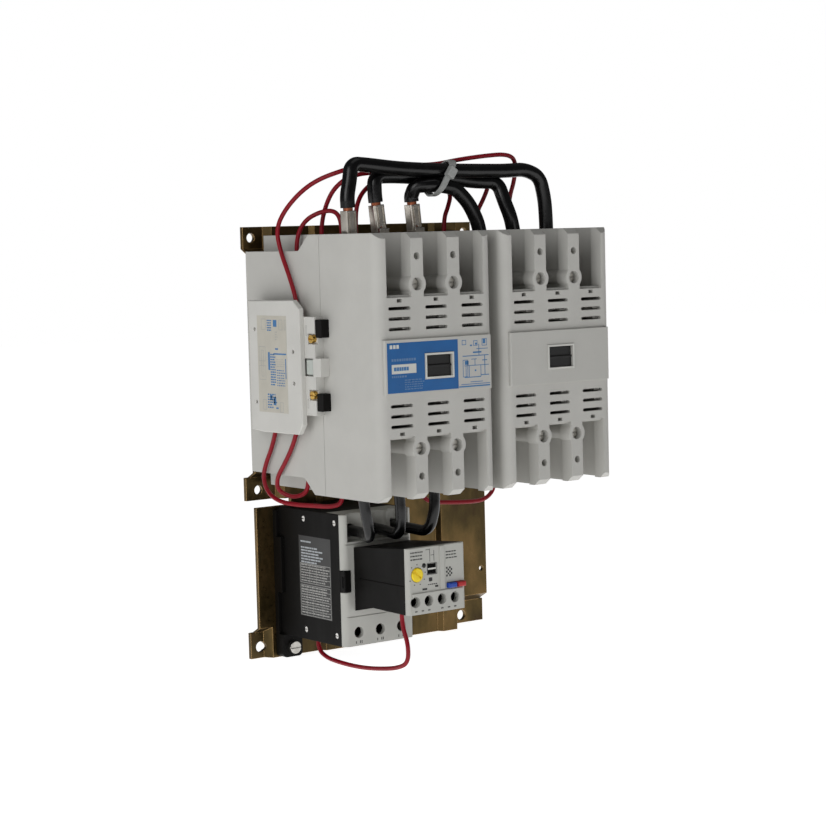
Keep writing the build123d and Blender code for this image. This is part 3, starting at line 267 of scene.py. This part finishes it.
MAT = {
    "case": plastic("case_grey", srgb(190, 189, 184), rough=0.52, mottle=0.02),
    "panel": plastic("panel_grey", srgb(188, 187, 182), rough=0.46, mottle=0.015, grain=3400.0),
    "black": plastic("black_plastic", srgb(15, 14, 13), rough=0.50, mottle=0.10, wear=0.22, dust=0.05,
                     specular=0.11),
    "indicator": plastic("indicator_black", srgb(20, 20, 20), rough=0.34, mottle=0.10, bump_mm=0.006),
    "relay": plastic("relay_grey", srgb(186, 186, 180), rough=0.50, mottle=0.02),
    "white": plastic("aux_white", srgb(204, 203, 198), rough=0.48, mottle=0.02, wear=0.1),
    "follower": plastic("follower_plastic", srgb(190, 196, 190), rough=0.25, mottle=0.03, specular=0.6),
    "yellow": plastic("dial_yellow", srgb(244, 214, 38), rough=0.40, mottle=0.04),
    "blue": plastic("button_blue", srgb(34, 72, 168), rough=0.35, mottle=0.04),
    "red": plastic("button_red", srgb(176, 30, 34), rough=0.35, mottle=0.04),
    "nylon": plastic("tie_nylon", srgb(168, 170, 168), rough=0.40, mottle=0.03, specular=0.5),
    "board": plastic("board_green", srgb(30, 84, 50), rough=0.35, mottle=0.08),
    "coil": plastic("coil_tape", srgb(150, 112, 60), rough=0.45, mottle=0.15),
    "zinc_yellow": zinc_yellow(),
    "plated": metal("plated_steel", srgb(196, 194, 188), srgb(128, 122, 112), rough=0.30),
    "tinned": metal("tinned_metal", srgb(214, 208, 198), srgb(150, 132, 116), rough=0.20,
                    brush=(1, 1, 0.3), scale=500.0, bump_mm=0.004),
    # Control terminal screws: plated steel coloured dark, a painted shade for screws that sit deep in their
    # holes
    "screw_in_shade": metal("screw_painted_shade", srgb(58, 54, 48), srgb(30, 28, 26), rough=0.45),
    "magnet": metal("magnet_steel", srgb(120, 120, 122), srgb(82, 74, 66), rough=0.42,
                    brush=(0.05, 1, 1), scale=1800.0),
    "copper": metal("copper", srgb(170, 100, 72), srgb(98, 54, 40), rough=0.34,
                    brush=(1, 1, 0.1)),
    "brass": metal("brass", srgb(222, 182, 96), srgb(132, 96, 44), rough=0.26),
    "cable": pvc("cable_black", srgb(6, 6, 7), rough=0.22, bump_mm=0.004, specular=0.45),
    "wire": pvc("wire_red", srgb(134, 10, 28), rough=0.34, specular=0.25),
    "ink_blue": printed("ink_blue", srgb(6, 92, 158), rough=0.30),
    "ink_faint": printed("ink_faint_blue", srgb(92, 128, 170), rough=0.34),
    "ink_pale": printed("ink_pale", srgb(176, 182, 186), rough=0.34),
    "ink_line": printed("ink_line_blue", srgb(60, 118, 172), rough=0.36),
    "ink_white": printed("ink_white", srgb(214, 214, 208), rough=0.36),
    "ink_black": printed("ink_black", srgb(36, 36, 36), rough=0.40),
    "film_beige": printed("film_beige", srgb(194, 190, 178), rough=0.44),
    "film_black": printed("film_black", srgb(44, 44, 44), rough=0.38),
    "ink_grey": printed("ink_grey", srgb(172, 172, 168), rough=0.40),
    "plated_bright": metal("plated_bright", srgb(232, 230, 226), srgb(186, 182, 174), rough=0.30,
                           metallic=0.55),
}

# Nodes by material; every node not listed is black plastic
USED_ON = {
    "zinc_yellow": ("base_plate",),
    "case": ("left_contactor_base", "left_contactor_cover", "right_contactor_base", "right_contactor_cover"),
    "panel": ("left_front_panel", "right_front_panel"),
    "indicator": ("left_crosshead", "right_crosshead"),
    "relay": ("relay_cover", "relay_module_face"),
    "white": ("aux_body", "aux_plate"),
    "follower": ("aux_plunger",),
    "brass": ("aux_screws",),
    "screw_in_shade": ("control_terminals",),
    "yellow": ("setting_dial",),
    "blue": ("reset_button",),
    "red": ("test_button",),
    "nylon": ("cable_tie",),
    "board": ("relay_circuit_board",),
    "coil": ("coils",),
    "tinned": ("line_box_lugs",),
    "copper": ("fixed_contacts", "bare_conductors", "relay_conductors", "left_bridge_contacts",
               "right_bridge_contacts"),
    "magnet": ("magnet_cores", "left_armature", "right_armature", "current_transformers"),
    "plated": ("terminal_clamps", "terminal_screws", "cover_screws", "foot_screw", "left_return_springs",
               "right_return_springs"),
    "plated_bright": ("arc_chutes", "relay_side_screws"),
    "cable": tuple(name for name in NODES if name.startswith("power_cable")),
    "wire": tuple(name for name in NODES if name.startswith("wire_")),
}
BY_NODE = {name: material for material, names in USED_ON.items() for name in names}
for node_name, node in NODES.items():
    node.data.materials.clear()
    node.data.materials.append(MAT[BY_NODE.get(node_name, "black")])


# ------------------------------------------------------------------ camera and light

def rotation(yaw, pitch, roll):
    """Turned yaw degrees from +Y towards +X and pitch degrees down, then rolled about its own axis."""
    yaw, pitch = math.radians(yaw), math.radians(pitch)
    level = math.cos(pitch)
    forward = Vector((math.sin(yaw) * level, math.cos(yaw) * level, -math.sin(pitch)))
    right = Vector((math.cos(yaw), -math.sin(yaw), 0))
    up = right.cross(forward)
    turned = Matrix((right, up, -forward)).transposed()
    return turned @ Matrix.Rotation(math.radians(roll), 3, "Z")


def link(obj):
    bpy.context.scene.collection.objects.link(obj)
    return obj


camera_data = bpy.data.cameras.new("camera")
camera = link(bpy.data.objects.new("camera", camera_data))
camera.location = (-0.87625, -1.20460, 0.08328)
camera.rotation_euler = rotation(37.318, 4.665, -1.458).to_euler()
camera_data.sensor_width = 36.0
camera_data.lens = 97.58
camera_data.clip_start = 0.01
bpy.context.scene.camera = camera


def area_light(name, location, target, size, power):
    data = bpy.data.lights.new(name, "AREA")
    data.shape = "RECTANGLE"
    data.size, data.size_y = size
    data.energy = power
    light = link(bpy.data.objects.new(name, data))
    light.location = location
    aim = Vector(target) - Vector(location)
    light.rotation_euler = aim.to_track_quat("-Z", "Y").to_euler()


area_light("key_left", (-1.05, -0.50, 0.50), (-0.02, -0.08, 0), (0.6, 0.8), 4.0)
area_light("fill_front", (-0.75, -1.0, 0.45), (-0.06, -0.15, 0), (0.6, 0.5), 0.40)
area_light("top", (0.1, -0.35, 1.3), (0, -0.08, 0), (1.0, 0.7), 0.9)

# The sky is white to the camera and dimmer as a light, so that metals and blacks keep their depth
SKY_LIGHT = 0.08
FLOOR_GLOW = 0.95
FLOOR_HALF = 4.0
FLOOR_GAP = 0.0005
world = bpy.data.worlds.new("studio")
world.use_nodes = True
sky = world.node_tree
sky.nodes["Background"].inputs["Color"].default_value = (1, 1, 1, 1)
sky.nodes["Background"].inputs["Strength"].default_value = SKY_LIGHT
seen = add(sky, "ShaderNodeBackground", i_Color=(1, 1, 1, 1), i_Strength=1.0)
path_kind = add(sky, "ShaderNodeLightPath")
either = add(sky, "ShaderNodeMixShader")
sky.links.new(path_kind.outputs["Is Camera Ray"], either.inputs[0])
sky.links.new(sky.nodes["Background"].outputs[0], either.inputs[1])
sky.links.new(seen.outputs[0], either.inputs[2])
sky.links.new(either.outputs[0], sky.nodes["World Output"].inputs["Surface"])
bpy.context.scene.world = world
bpy.context.scene.view_settings.view_transform = "Standard"

floor_mesh = bpy.data.meshes.new("floor")
floor_z = CAD_BOX[0][2] - FLOOR_GAP
floor_corners = [(x * FLOOR_HALF, y * FLOOR_HALF, floor_z) for x, y in ((-1, -1), (1, -1), (1, 1), (-1, 1))]
floor_mesh.from_pydata(floor_corners, [], [(0, 1, 2, 3)])
floor = link(bpy.data.objects.new("floor", floor_mesh))
floor_white = printed("floor_white", (0.86, 0.86, 0.86, 1), rough=0.8)
floor_shader = floor_white.node_tree.nodes["Principled BSDF"]
floor_shader.inputs["Emission Color"].default_value = (1, 1, 1, 1)
floor_shader.inputs["Emission Strength"].default_value = FLOOR_GLOW
floor_mesh.materials.append(floor_white)


# ------------------------------------------------------------------ control wires

WIRE_DIAMETER = 2.8
# Route points in millimetres and the length of each wire
WIRES = {
    "wire_aux_crossover": (293.0, [
        (-100.4, -73.0, 32.6),
        (-100.4, -73.0, 40.0),
        (-99.8, -65.0, 56.0),
        (-99.6, -55.0, 72.5),
        (-99.8, -51.5, 86.0),
        (-97.4, -57.0, 97.0),
        (-91.0, -66.0, 108.5),
        (-84.6, -76.5, 115.8),
        (-74.5, -87.0, 120.6),
        (-60.0, -91.4, 124.6),
        (-40.0, -92.0, 124.6),
        (-22.0, -91.4, 123.8),
        (-6.0, -92.6, 124.0),
        (8.0, -98.0, 126.8),
        (26.0, -101.6, 129.0),
        (44.0, -102.6, 130.2),
        (54.0, -99.6, 126.4),
        (57.0, -94.4, 114.0),
        (55.2, -91.0, 103.0),
        (56.0, -88.6, 90.6),
        (56.0, -88.6, 82.2),
    ]),
    "wire_coil_left": (56.5, [
        (-88.0, -56.0, 72.4),
        (-88.0, -56.0, 80.4),
        (-84.2, -60.0, 91.2),
        (-77.0, -68.0, 96.4),
        (-72.6, -76.6, 96.6),
        (-72.0, -82.0, 90.0),
        (-72.0, -82.0, 82.2),
    ]),
    "wire_line_crossover": (182.8, [
        (-72.0, -60.6, 82.2),
        (-72.0, -60.6, 89.0),
        (-71.0, -65.0, 101.0),
        (-70.0, -72.0, 110.0),
        (-66.0, -80.5, 116.6),
        (-56.0, -84.6, 119.2),
        (-42.0, -85.2, 119.4),
        (-24.0, -86.0, 118.8),
        (-8.0, -87.0, 120.4),
        (8.0, -90.0, 122.0),
        (22.0, -92.4, 123.0),
        (32.0, -94.0, 121.0),
        (37.0, -93.0, 112.0),
        (34.6, -90.6, 103.0),
        (29.0, -88.6, 92.6),
        (29.0, -88.6, 82.2),
    ]),
    "wire_phase_link": (124.7, [
        (-66.0, -88.6, 82.2),
        (-66.0, -88.6, 90.0),
        (-65.0, -88.4, 98.6),
        (-60.0, -87.4, 107.0),
        (-50.6, -86.4, 113.2),
        (-38.0, -86.0, 115.4),
        (-24.0, -85.6, 115.2),
        (-10.0, -85.4, 114.6),
        (1.6, -86.4, 113.6),
        (9.8, -88.0, 106.2),
        (6.6, -88.6, 97.6),
        (3.0, -88.4, 90.2),
        (3.0, -88.4, 82.2),
    ]),
    "wire_aux_return_a": (117.9, [
        (-100.4, -46.6, -27.4),
        (-100.4, -46.6, -36.0),
        (-100.2, -40.0, -50.0),
        (-100.2, -32.6, -60.5),
        (-100.4, -29.0, -70.0),
        (-100.2, -33.6, -79.0),
        (-99.0, -44.0, -84.0),
        (-93.6, -56.0, -85.6),
        (-87.0, -66.6, -86.0),
        (-81.0, -74.4, -86.6),
        (-75.6, -80.4, -84.4),
        (-75.6, -80.4, -77.0),
    ]),
    "wire_aux_return_b": (90.8, [
        (-100.4, -69.6, -27.4),
        (-100.4, -69.6, -36.0),
        (-100.0, -62.4, -48.5),
        (-99.8, -53.0, -59.5),
        (-99.6, -43.6, -69.0),
        (-97.4, -40.6, -77.2),
        (-92.6, -48.0, -81.6),
        (-88.0, -56.0, -80.0),
        (-87.0, -60.0, -74.2),
        (-87.0, -60.0, -67.2),
    ]),
    "wire_load_link": (77.9, [
        (-17.0, -84.0, -77.0),
        (-17.0, -84.0, -84.0),
        (-11.4, -84.4, -89.2),
        (2.0, -85.6, -90.6),
        (17.0, -87.6, -91.6),
        (30.0, -87.0, -91.8),
        (38.0, -85.8, -89.0),
        (43.0, -84.2, -83.6),
        (43.0, -84.2, -77.0),
    ]),
    "wire_relay_trip": (132.9, [
        (-68.0, -128.0, -148.9),
        (-68.0, -128.0, -156.0),
        (-67.8, -133.4, -167.0),
        (-67.6, -132.6, -178.6),
        (-67.6, -121.5, -183.2),
        (-67.8, -106.0, -185.8),
        (-67.8, -90.0, -187.6),
        (-68.0, -75.0, -188.2),
        (-68.2, -60.0, -187.8),
        (-68.4, -47.5, -186.6),
        (-68.4, -38.4, -182.4),
        (-68.4, -38.4, -174.5),
    ]),
}


def wire(name, points):
    """Smooth wire along its route, standing for the CAD tube of the same name."""
    curve = bpy.data.curves.new(name + "_line", "CURVE")
    curve.dimensions = "3D"
    curve.bevel_depth = WIRE_DIAMETER / 2 * MM
    curve.bevel_resolution = 6
    curve.resolution_u = 16
    curve.use_fill_caps = True
    spline = curve.splines.new("NURBS")
    spline.points.add(len(points) - 1)
    for point, place in zip(spline.points, points):
        point.co = (place[0] * MM, place[1] * MM, place[2] * MM, 1.0)
    spline.order_u = 3
    spline.use_endpoint_u = True
    piece = link(bpy.data.objects.new(name + "_cord", curve))
    curve.materials.append(MAT["wire"])
    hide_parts(name)
    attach(piece, "unit")


for wire_name, (wire_length, wire_points) in WIRES.items():
    wire(wire_name, wire_points)


# ------------------------------------------------------------------ printed labels

# How far a slab is sunk into its face, and the thickness of each layer above it, in millimetres
SUNK = 0.02
FILM = 0.03


def piece_from(name, mesh, colour, smooth=False):
    """Turns a bmesh into a piece on the unit."""
    data = bpy.data.meshes.new(name)
    mesh.to_mesh(data)
    mesh.free()
    data.materials.append(MAT[colour])
    for polygon in data.polygons:
        polygon.use_smooth = smooth
    piece = link(bpy.data.objects.new(name, data))
    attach(piece, "unit")


def slabs(name, face, at, rects, colour, layer=1):
    """Printed areas, all in one piece: thin closed slabs on a flat face of the CAD.

    face is "front" (u is X, v is Z, seen from -Y) or "left" (u is Y, v is Z, seen from -X), at is
    where that face lies, and rects are (u0, u1, v0, v1), all in millimetres. A higher layer lies on
    a lower one.
    """
    mesh = bmesh.new()
    proud = FILM * (1 + layer)
    for u0, u1, v0, v1 in rects:
        corners = []
        for depth in (at + SUNK, at - proud):
            for u, v in ((u0, v0), (u1, v0), (u1, v1), (u0, v1)):
                place = (u, depth, v) if face == "front" else (depth, u, v)
                corners.append(mesh.verts.new([value * MM for value in place]))
        for ring in ((0, 1, 2, 3), (4, 5, 6, 7), (0, 1, 5, 4), (1, 2, 6, 5), (2, 3, 7, 6), (3, 0, 4, 7)):
            mesh.faces.new([corners[index] for index in ring])
    bmesh.ops.recalc_face_normals(mesh, faces=mesh.faces)
    piece_from(name, mesh, colour)


def outline(u0, u1, v0, v1, line=0.35):
    """Thin frame as four areas."""
    low_u, high_u = sorted((u0, u1))
    low_v, high_v = sorted((v0, v1))
    return [
        (low_u, high_u, low_v, low_v + line),
        (low_u, high_u, high_v - line, high_v),
        (low_u, low_u + line, low_v + line, high_v - line),
        (high_u - line, high_u, low_v + line, high_v - line),
    ]


def words(u0, u1, v_top, rows, pitch, height, seed, word=(0.9, 3.2), gap=0.5, ragged=0.25):
    """Rows of short bars that read as small print, from u0 towards u1, with uneven row ends."""
    chance = random.Random(seed)
    areas = []
    step = 1 if u1 > u0 else -1
    for row in range(rows):
        v = v_top - row * pitch
        at = u0
        stop = u1 - step * abs(u1 - u0) * ragged * chance.random()
        while step * (stop - at) > word[0]:
            length = min(chance.uniform(*word), abs(stop - at))
            ends = sorted((at, at + step * length))
            areas.append((ends[0], ends[1], v - height, v))
            at += step * (length + gap)
    return areas


def low(node, axis):
    """Lowest value of a node along an axis, in millimetres."""
    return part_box(node)[0][axis] / MM


# Left contactor's centre label: blue field round the window and a wiring diagram
PANEL_RECESS = 0.6
PANEL = low("left_front_panel", 1) + PANEL_RECESS
slabs("panel_label_blue", "front", PANEL, [
    (-92.2, -64.3, -12.3, 17.4),
    (-64.3, -42.3, 10.3, 17.4),
    (-64.3, -42.3, -12.3, -5.4),
    (-42.3, -39.0, -12.3, 17.4),
], "ink_blue")
slabs("panel_label_white", "front", PANEL, [
    (-90.1, -88.2, 14.0, 16.2), (-87.6, -85.8, 14.0, 16.2), (-85.2, -83.4, 14.0, 16.2),
    (-89.0, -70.8, -0.9, 4.6),
], "ink_white", layer=2)
slabs("panel_label_faint", "front", PANEL,
      words(-89.0, -71.0, 8.0, 1, 1, 1.5, 3, word=(1.0, 1.8), gap=0.5, ragged=0.0)
      + words(-89.0, -77.0, -2.0, 1, 1, 1.2, 4, word=(0.8, 1.6), gap=0.5, ragged=0.0)
      + words(-79.6, -65.0, -4.6, 5, 1.35, 0.55, 5, word=(0.8, 2.4), gap=0.5, ragged=0.1),
      "ink_faint", layer=2)
slabs("panel_label_box_text", "front", PANEL,
      words(-87.4, -76.0, 3.0, 1, 1, 2.2, 6, word=(1.3, 2.0), gap=0.25, ragged=0.0),
      "ink_line", layer=3)
diagram = [
    (-24.7, -15.8, 10.7, 11.1), (-35.5, -15.2, 6.6, 7.1), (-34.2, -15.2, 0.8, 1.2),
    (-34.2, -21.5, -6.3, -5.8), (-21.5, -15.2, -5.3, -4.8), (-29.8, -20.2, -9.1, -8.7),
    (-37.0, -14.6, -10.4, -10.0), (-38.6, -14.6, -11.9, -11.1), (-33.2, -32.8, -5.8, 0.8),
    (-30.9, -30.4, -5.8, 0.8), (-18.6, -18.1, -4.8, 6.6), (-23.0, -22.6, 7.1, 13.8),
    (-26.2, -25.8, 1.2, 5.0), (-21.7, -21.3, -5.8, 0.8), (-20.4, -16.4, 3.6, 4.1),
    (-28.8, -24.6, 4.6, 5.0), (-33.8, -31.0, 1.6, 4.0), (-26.3, -25.1, -2.6, -1.6),
    (-29.6, -28.0, 12.7, 13.6), (-27.4, -20.8, 8.4, 9.3), (-19.6, -17.6, 13.9, 16.6),
    (-25.6, -24.3, 13.4, 14.6),
]
for symbol in ((-35.8, -32.6, 13.6, 16.6), (-27.0, -23.8, 12.8, 16.0), (-20.4, -16.4, 12.6, 16.9),
               (-35.4, -31.6, -5.8, 4.6)):
    diagram += outline(*symbol)
slabs("panel_label_diagram", "front", PANEL, diagram, "ink_line")

# Auxiliary block's label: beige field with blue print
AUX = low("aux_plate", 0)
slabs("aux_label_field", "left", AUX, [(-69.8, -37.6, -27.0, 33.0)], "film_beige")
aux_blue = [
    (-59.3, -55.4, 26.2, 30.4), (-69.0, -54.9, 9.0, 9.9), (-51.0, -49.0, -0.7, 10.4),
    (-68.6, -67.7, -5.7, 6.7), (-60.2, -57.0, 12.0, 13.0), (-59.0, -56.4, -24.6, -23.6),
    (-52.6, -50.0, -19.4, -16.2), (-56.6, -53.6, -22.4, -17.2),
]
aux_blue += words(-51.4, -57.4, 9.4, 13, 1.55, 0.85, 11, word=(0.9, 2.6), gap=0.35, ragged=0.1)
aux_blue += words(-58.2, -67.4, -0.4, 7, 1.55, 0.6, 12, word=(0.9, 2.4), gap=0.6, ragged=0.1)
aux_blue += words(-47.4, -57.6, -15.4, 6, 1.6, 0.9, 13, word=(0.9, 2.2), gap=0.6, ragged=0.5)
aux_blue += words(-48.6, -53.8, 30.4, 5, 1.5, 0.8, 14, word=(0.8, 1.8), gap=0.4, ragged=0.4)
slabs("aux_label_blue", "left", AUX, aux_blue, "ink_line", layer=2)
aux_fine = []
for symbol in ((-47.1, -42.3, 24.2, 31.0), (-65.6, -61.5, 24.2, 30.6), (-69.2, -67.6, 24.2, 30.6),
               (-46.0, -42.0, -25.6, -19.2), (-64.6, -60.6, -26.6, -20.3), (-46.2, -39.0, -7.0, 2.0),
               (-46.2, -39.0, 4.6, 13.8), (-44.0, -41.4, -5.0, 11.6)):
    aux_fine += outline(*symbol)
aux_fine += words(-57.4, -60.0, 23.2, 4, 1.5, 0.6, 15, word=(0.8, 1.4), gap=0.4, ragged=0.2)
aux_fine += words(-58.2, -67.0, 6.2, 4, 1.4, 0.35, 16, word=(1.2, 3.0), gap=0.6, ragged=0.2)
slabs("aux_label_fine", "left", AUX, aux_fine, "ink_grey", layer=2)
AUX_CASE = low("aux_body", 0)
slabs("aux_case_marks", "left", AUX_CASE,
      outline(-87.0, -85.6, 21.0, 27.4, 0.3) + outline(-87.0, -85.6, -23.0, -17.4, 0.3),
      "ink_grey")

# Relay's side label: small print and two tables on a black film
SIDE = low("relay_case", 0)
slabs("relay_label_field", "left", SIDE, [(-68.8, -34.0, -159.5, -108.0)], "film_black")
relay_print = words(-36.2, -48.0, -111.2, 1, 1, 1.0, 21, word=(1.0, 2.0), gap=0.3, ragged=0.0)
relay_print += words(-36.4, -63.0, -115.0, 6, 1.85, 0.95, 22, word=(1.4, 4.6), gap=0.5, ragged=0.35)
slabs("relay_label_print", "left", SIDE, relay_print, "ink_pale", layer=2)
tables = outline(-68.0, -35.0, -138.2, -125.6, 0.3) + outline(-68.0, -35.0, -159.0, -139.4, 0.3)
RULE = 0.25
row_rules = [-128.0 - 3.4 * row for row in range(3)] + [-142.8 - 3.2 * row for row in range(5)]
tables += [(-67.6, -35.4, v, v + RULE) for v in row_rules]
tables += [(u, u + RULE, -137.8, -126.0) for u in (-61.0, -53.0, -45.4)]
tables += [(u, u + RULE, -158.6, -139.8) for u in (-59.0, -48.4, -42.0)]
tables += words(-36.0, -67.0, -126.2, 7, 1.68, 0.7, 23, word=(0.8, 3.4), gap=0.6, ragged=0.15)
tables += words(-36.0, -67.0, -140.2, 11, 1.66, 0.75, 24, word=(0.8, 3.4), gap=0.5, ragged=0.15)
slabs("relay_label_tables", "left", SIDE, tables, "ink_grey", layer=2)

# Module's front print: dial ticks, small rows, a wiring sketch and marks at the terminals
FACE_RECESS = 0.9
FACE = low("relay_module_face", 1) + FACE_RECESS
DIAL = (-63.2, -124.5)
DIAL_TICK_RADIUS = 6.3
CHECK = 1.2
marks = words(-68.0, -58.6, -110.4, 3, 2.1, 0.8, 31, word=(0.9, 2.2), gap=0.4, ragged=0.1)
for index in range(8):
    turn = math.radians(-40 + index * 40)
    u = DIAL[0] + DIAL_TICK_RADIUS * math.sin(turn)
    v = DIAL[1] + DIAL_TICK_RADIUS * math.cos(turn)
    marks.append((u - 0.4, u + 0.4, v - 0.3, v + 0.3))
marks += [
    (-53.4, -53.1, -117.4, -109.4), (-56.4, -53.4, -110.0, -109.7), (-50.2, -49.9, -117.4, -110.6),
    (-52.6, -50.2, -113.6, -113.3), (-59.4, -55.8, -134.4, -133.2), (-49.6, -47.2, -133.4, -132.2),
]
marks += words(-55.0, -48.0, -131.0, 1, 1, 0.6, 32, word=(0.7, 1.4), gap=0.4, ragged=0.0)
marks += outline(-55.6, -47.8, -125.4, -118.2, 0.25)
for row in range(5):
    for column in range(4):
        if (row + column) % 2 == 0:
            u, v = -40.9 + column * CHECK, -123.2 - row * CHECK
            marks.append((u, u + CHECK, v, v + CHECK))
marks += words(-40.9, -30.0, -112.4, 3, 1.9, 0.7, 33, word=(0.9, 2.2), gap=0.4, ragged=0.3)
slabs("module_marks", "front", FACE, marks, "ink_black")
terminal_marks = [(u - 0.9, u + 0.9, -147.0, -146.3) for u in (-65.2, -60.2, -55.3, -45.2, -40.0, -35.1)]
slabs("module_terminal_marks", "front", low("relay_module_face", 1), terminal_marks, "ink_black")
cover_marks = []
for u in (-67.6, -51.0, -34.4):
    cover_marks.append((u - 2.6, u - 2.0, -173.0, -171.4))
    cover_marks += [(u + start, u + start + 0.6, -173.0, -171.2) for start in (0.6, 1.8)]
slabs("relay_cover_marks", "front", low("relay_cover", 1), cover_marks, "ink_black")

# Bright rims round the indicator windows
RIM_HALF = 10.8
RIM_WIDTH = 1.0
for side in ("left", "right"):
    head_low, head_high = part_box(side + "_crosshead")
    middle = (head_low[0] + head_high[0]) / 2 / MM
    slabs(side + "_window_rim", "front", low(side + "_front_panel", 1),
          outline(middle - RIM_HALF, middle + RIM_HALF, -5.0, 10.1, RIM_WIDTH), "ink_white")

# Module details: switch block's light bar, a second dark window and the indicator lamp
slabs("dip_light_bar", "front", low("dip_switches", 1), [(-54.8, -48.6, -122.3, -121.3)], "ink_white")
slabs("module_small_window", "front", FACE, [(-54.3, -51.7, -129.4, -127.2)], "ink_black")


LAMP_RINGS = 12
LAMP_SEGMENTS = 24
LAMP_DEPTH = 0.35


def lamp(name, at, radius, face):
    """Low round lens standing a little proud of a front face: a ball flattened along Y."""
    mesh = bmesh.new()

    def vertex(ring, segment):
        tilt, around = math.pi * ring / LAMP_RINGS, 2 * math.pi * segment / LAMP_SEGMENTS
        out = radius * math.sin(tilt)
        u, v = at[0] + out * math.cos(around), at[1] + radius * math.cos(tilt)
        return mesh.verts.new((u * MM, (face + LAMP_DEPTH * out * math.sin(around)) * MM, v * MM))

    top, bottom = vertex(0, 0), vertex(LAMP_RINGS, 0)
    rings = [[vertex(ring, segment) for segment in range(LAMP_SEGMENTS)] for ring in range(1, LAMP_RINGS)]
    for index in range(LAMP_SEGMENTS):
        after = (index + 1) % LAMP_SEGMENTS
        mesh.faces.new((top, rings[0][index], rings[0][after]))
        mesh.faces.new((bottom, rings[-1][after], rings[-1][index]))
        for upper, lower in zip(rings, rings[1:]):
            mesh.faces.new((upper[index], lower[index], lower[after], upper[after]))
    piece_from(name, mesh, "indicator", smooth=True)


lamp("status_lamp", (-57.8, -119.3), 1.5, FACE)


# Millimetres and radians; each ring is its radius and its number of strands
STRAND_RADIUS = 0.56
STRAND_SIDES = 8
STRAND_STEPS = 5
STRAND_RISE = 0.6
TWIST = 0.07
STRAND_RINGS = ((0.0, 1), (1.1, 6), (2.2, 12))


def strand(mesh, centres, place):
    """One closed round strand through level centres; place puts a point on its lug."""
    loops = []
    for centre in centres:
        loop = []
        for side in range(STRAND_SIDES):
            around = 2 * math.pi * side / STRAND_SIDES
            offset = Vector((STRAND_RADIUS * math.cos(around), STRAND_RADIUS * math.sin(around), 0))
            loop.append(mesh.verts.new(place(centre + offset)))
        loops.append(loop)
    for lower, upper in zip(loops, loops[1:]):
        for side in range(STRAND_SIDES):
            after = (side + 1) % STRAND_SIDES
            mesh.faces.new((lower[side], lower[after], upper[after], upper[side]))
    mesh.faces.new(loops[0][::-1])
    mesh.faces.new(loops[-1])


def strands(name, foot, height, lean):
    """Copper strands that stand out of a lug's top, laid in two twisted rings round a core."""
    turn = Matrix.Rotation(math.radians(-lean), 3, "Y")
    mesh = bmesh.new()
    for ring_radius, count in STRAND_RINGS:
        for index in range(count):
            centres = []
            for step in range(STRAND_STEPS):
                twist = 2 * math.pi * index / count + step * TWIST
                z = height - STRAND_RISE + step * STRAND_RISE
                centres.append(Vector((ring_radius * math.cos(twist), ring_radius * math.sin(twist), z)))
            strand(mesh, centres, lambda spot: (turn @ spot + Vector(foot)) * MM)
    bmesh.ops.recalc_face_normals(mesh, faces=mesh.faces)
    piece_from(name, mesh, "copper")


# Lug feet, collar heights and leans, as the lugs themselves
for strand_name, foot, height, lean in (
    ("strands_line_a", (-80.8, -102.7, 76.0), 20.0, 2.6),
    ("strands_line_b", (-53.3, -95.4, 83.0), 16.3, 6.6),
    ("strands_line_c", (-25.8, -95.4, 83.0), 16.3, 5.8),
):
    strands(strand_name, foot, height, lean)
